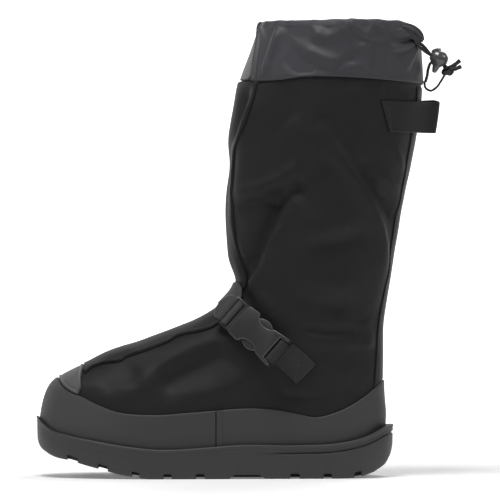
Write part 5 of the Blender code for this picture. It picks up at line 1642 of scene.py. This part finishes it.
def sewn(name, seams, finish, pitch, length):
    """Rows of stitches along seams, each a line of points. A Geometry Nodes tree sets one thread after another."""
    points, edges = [], []
    for seam in seams:
        edges += [(len(points) + i, len(points) + i + 1) for i in range(len(seam) - 1)]
        points += in_row(seam).tolist()
    mesh = bpy.data.meshes.new(name)
    mesh.from_pydata(points, edges, [])
    piece = linked(name, mesh)
    tree = bpy.data.node_groups.new(f"{name}_nodes", "GeometryNodeTree")
    tree.interface.new_socket("Seams", in_out="INPUT", socket_type="NodeSocketGeometry")
    sizes = {"Pitch": pitch * MM, "Stitch length": length * MM, "Thread width": THREAD_WIDTH * MM}
    sockets = {}
    for label in sizes:
        sockets[label] = tree.interface.new_socket(label, in_out="INPUT", socket_type="NodeSocketFloat")
    tree.interface.new_socket("Stitches", in_out="OUTPUT", socket_type="NodeSocketGeometry")
    given = tree.nodes.new("NodeGroupInput")
    made = tree.nodes.new("NodeGroupOutput")
    curve = tree.nodes.new("GeometryNodeMeshToCurve")
    places = tree.nodes.new("GeometryNodeCurveToPoints")
    places.mode = "LENGTH"
    thread = tree.nodes.new("GeometryNodeMeshUVSphere")
    thread.inputs["Segments"].default_value = 8
    thread.inputs["Rings"].default_value = 5
    thread.inputs["Radius"].default_value = 0.5
    size = tree.nodes.new("ShaderNodeCombineXYZ")
    placed = tree.nodes.new("GeometryNodeInstanceOnPoints")
    real = tree.nodes.new("GeometryNodeRealizeInstances")
    coloured = tree.nodes.new("GeometryNodeSetMaterial")
    coloured.inputs["Material"].default_value = finish.material
    join = tree.links.new
    join(given.outputs["Seams"], curve.inputs["Mesh"])
    join(curve.outputs["Curve"], places.inputs["Curve"])
    join(given.outputs["Pitch"], places.inputs["Length"])
    join(given.outputs["Thread width"], size.inputs["X"])
    join(given.outputs["Thread width"], size.inputs["Y"])
    join(given.outputs["Stitch length"], size.inputs["Z"])
    join(places.outputs["Points"], placed.inputs["Points"])
    join(places.outputs["Rotation"], placed.inputs["Rotation"])
    join(thread.outputs["Mesh"], placed.inputs["Instance"])
    join(size.outputs["Vector"], placed.inputs["Scale"])
    join(placed.outputs["Instances"], real.inputs["Geometry"])
    join(real.outputs["Geometry"], coloured.inputs["Geometry"])
    join(coloured.outputs["Geometry"], made.inputs["Stitches"])
    sewing = piece.modifiers.new("sewing", "NODES")
    sewing.node_group = tree
    for label, value in sizes.items():
        sewing[sockets[label].identifier] = value
    stitches = bpy.data.meshes.new_from_object(piece.evaluated_get(bpy.context.evaluated_depsgraph_get()))
    piece.modifiers.clear()
    piece.data = stitches
    stitches.shade_smooth()
    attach(piece, "root")
    return piece


def across_layer(angle, ring, distance, places):
    """Points on a laid layer at places given as shares across and along its grid."""
    rows, columns = angle.shape
    found = []
    for across, along in places:
        row, column = across * (rows - 1), along * (columns - 1)
        r, c = min(int(row), rows - 2), min(int(column), columns - 2)
        fr, fc = row - r, column - c
        mixed = [
            (1 - fr) * ((1 - fc) * grid[r, c] + fc * grid[r, c + 1])
            + fr * ((1 - fc) * grid[r + 1, c] + fc * grid[r + 1, c + 1])
            for grid in (angle, ring)
        ]
        found.append(on_upper(mixed[0], mixed[1], distance).reshape(3))
    return np.array(found)


def straight(start, end, count=24):
    return [tuple(np.array(start) + (np.array(end) - np.array(start)) * t) for t in np.linspace(0, 1, count)]


thread_finish = Finish("sewing_thread", (0.03, 0.03, 0.031), 0.6)
thread_finish.raise_by(thread_finish.noise(0.3, 2.0), 0.08)
cloth_seams = [hem_line]
for share_at in (4, -5):
    cloth_seams.append(on_upper(backstay_angle[:, share_at], backstay_ring[:, share_at], GAP + BACKSTAY_WALL, 1.0))
for share_at in (0.93, -0.93):
    cloth_seams.append(on_upper(tape_half[2:-2] * share_at, tape_rows[2:-2], GAP + FASTENER_WALL))
a, b, c, d = (0.14, 0.28), (0.86, 0.28), (0.86, 0.93), (0.14, 0.93)
webbing_seams = []
for start, end in ((a, b), (b, c), (c, d), (d, a), (a, c), (b, d)):
    webbing_seams.append(across_layer(anchor_angle, anchor_ring, GAP + ANCHOR_WALL - 0.25, straight(start, end)))
for along in (0.965, 0.985):
    end_seam = straight((0.1, along), (0.9, along))
    webbing_seams.append(across_layer(strap_angle, strap_ring, STRAP_CLEAR + STRAP_WALL - 0.05, end_seam))
tab_seams = [tab_faces[0][3:-3, 2], tab_faces[0][3:-3, -3]]
for name, seams, slot, stitch in (
    ("cloth_stitches", cloth_seams, "shaft_nylon", CLOTH_STITCH),
    ("webbing_stitches", webbing_seams, "webbing", WEBBING_STITCH),
    ("tab_stitches", tab_seams, "tab_tape", WEBBING_STITCH),
):
    stitches = sewn(name, seams, thread_finish, *stitch)
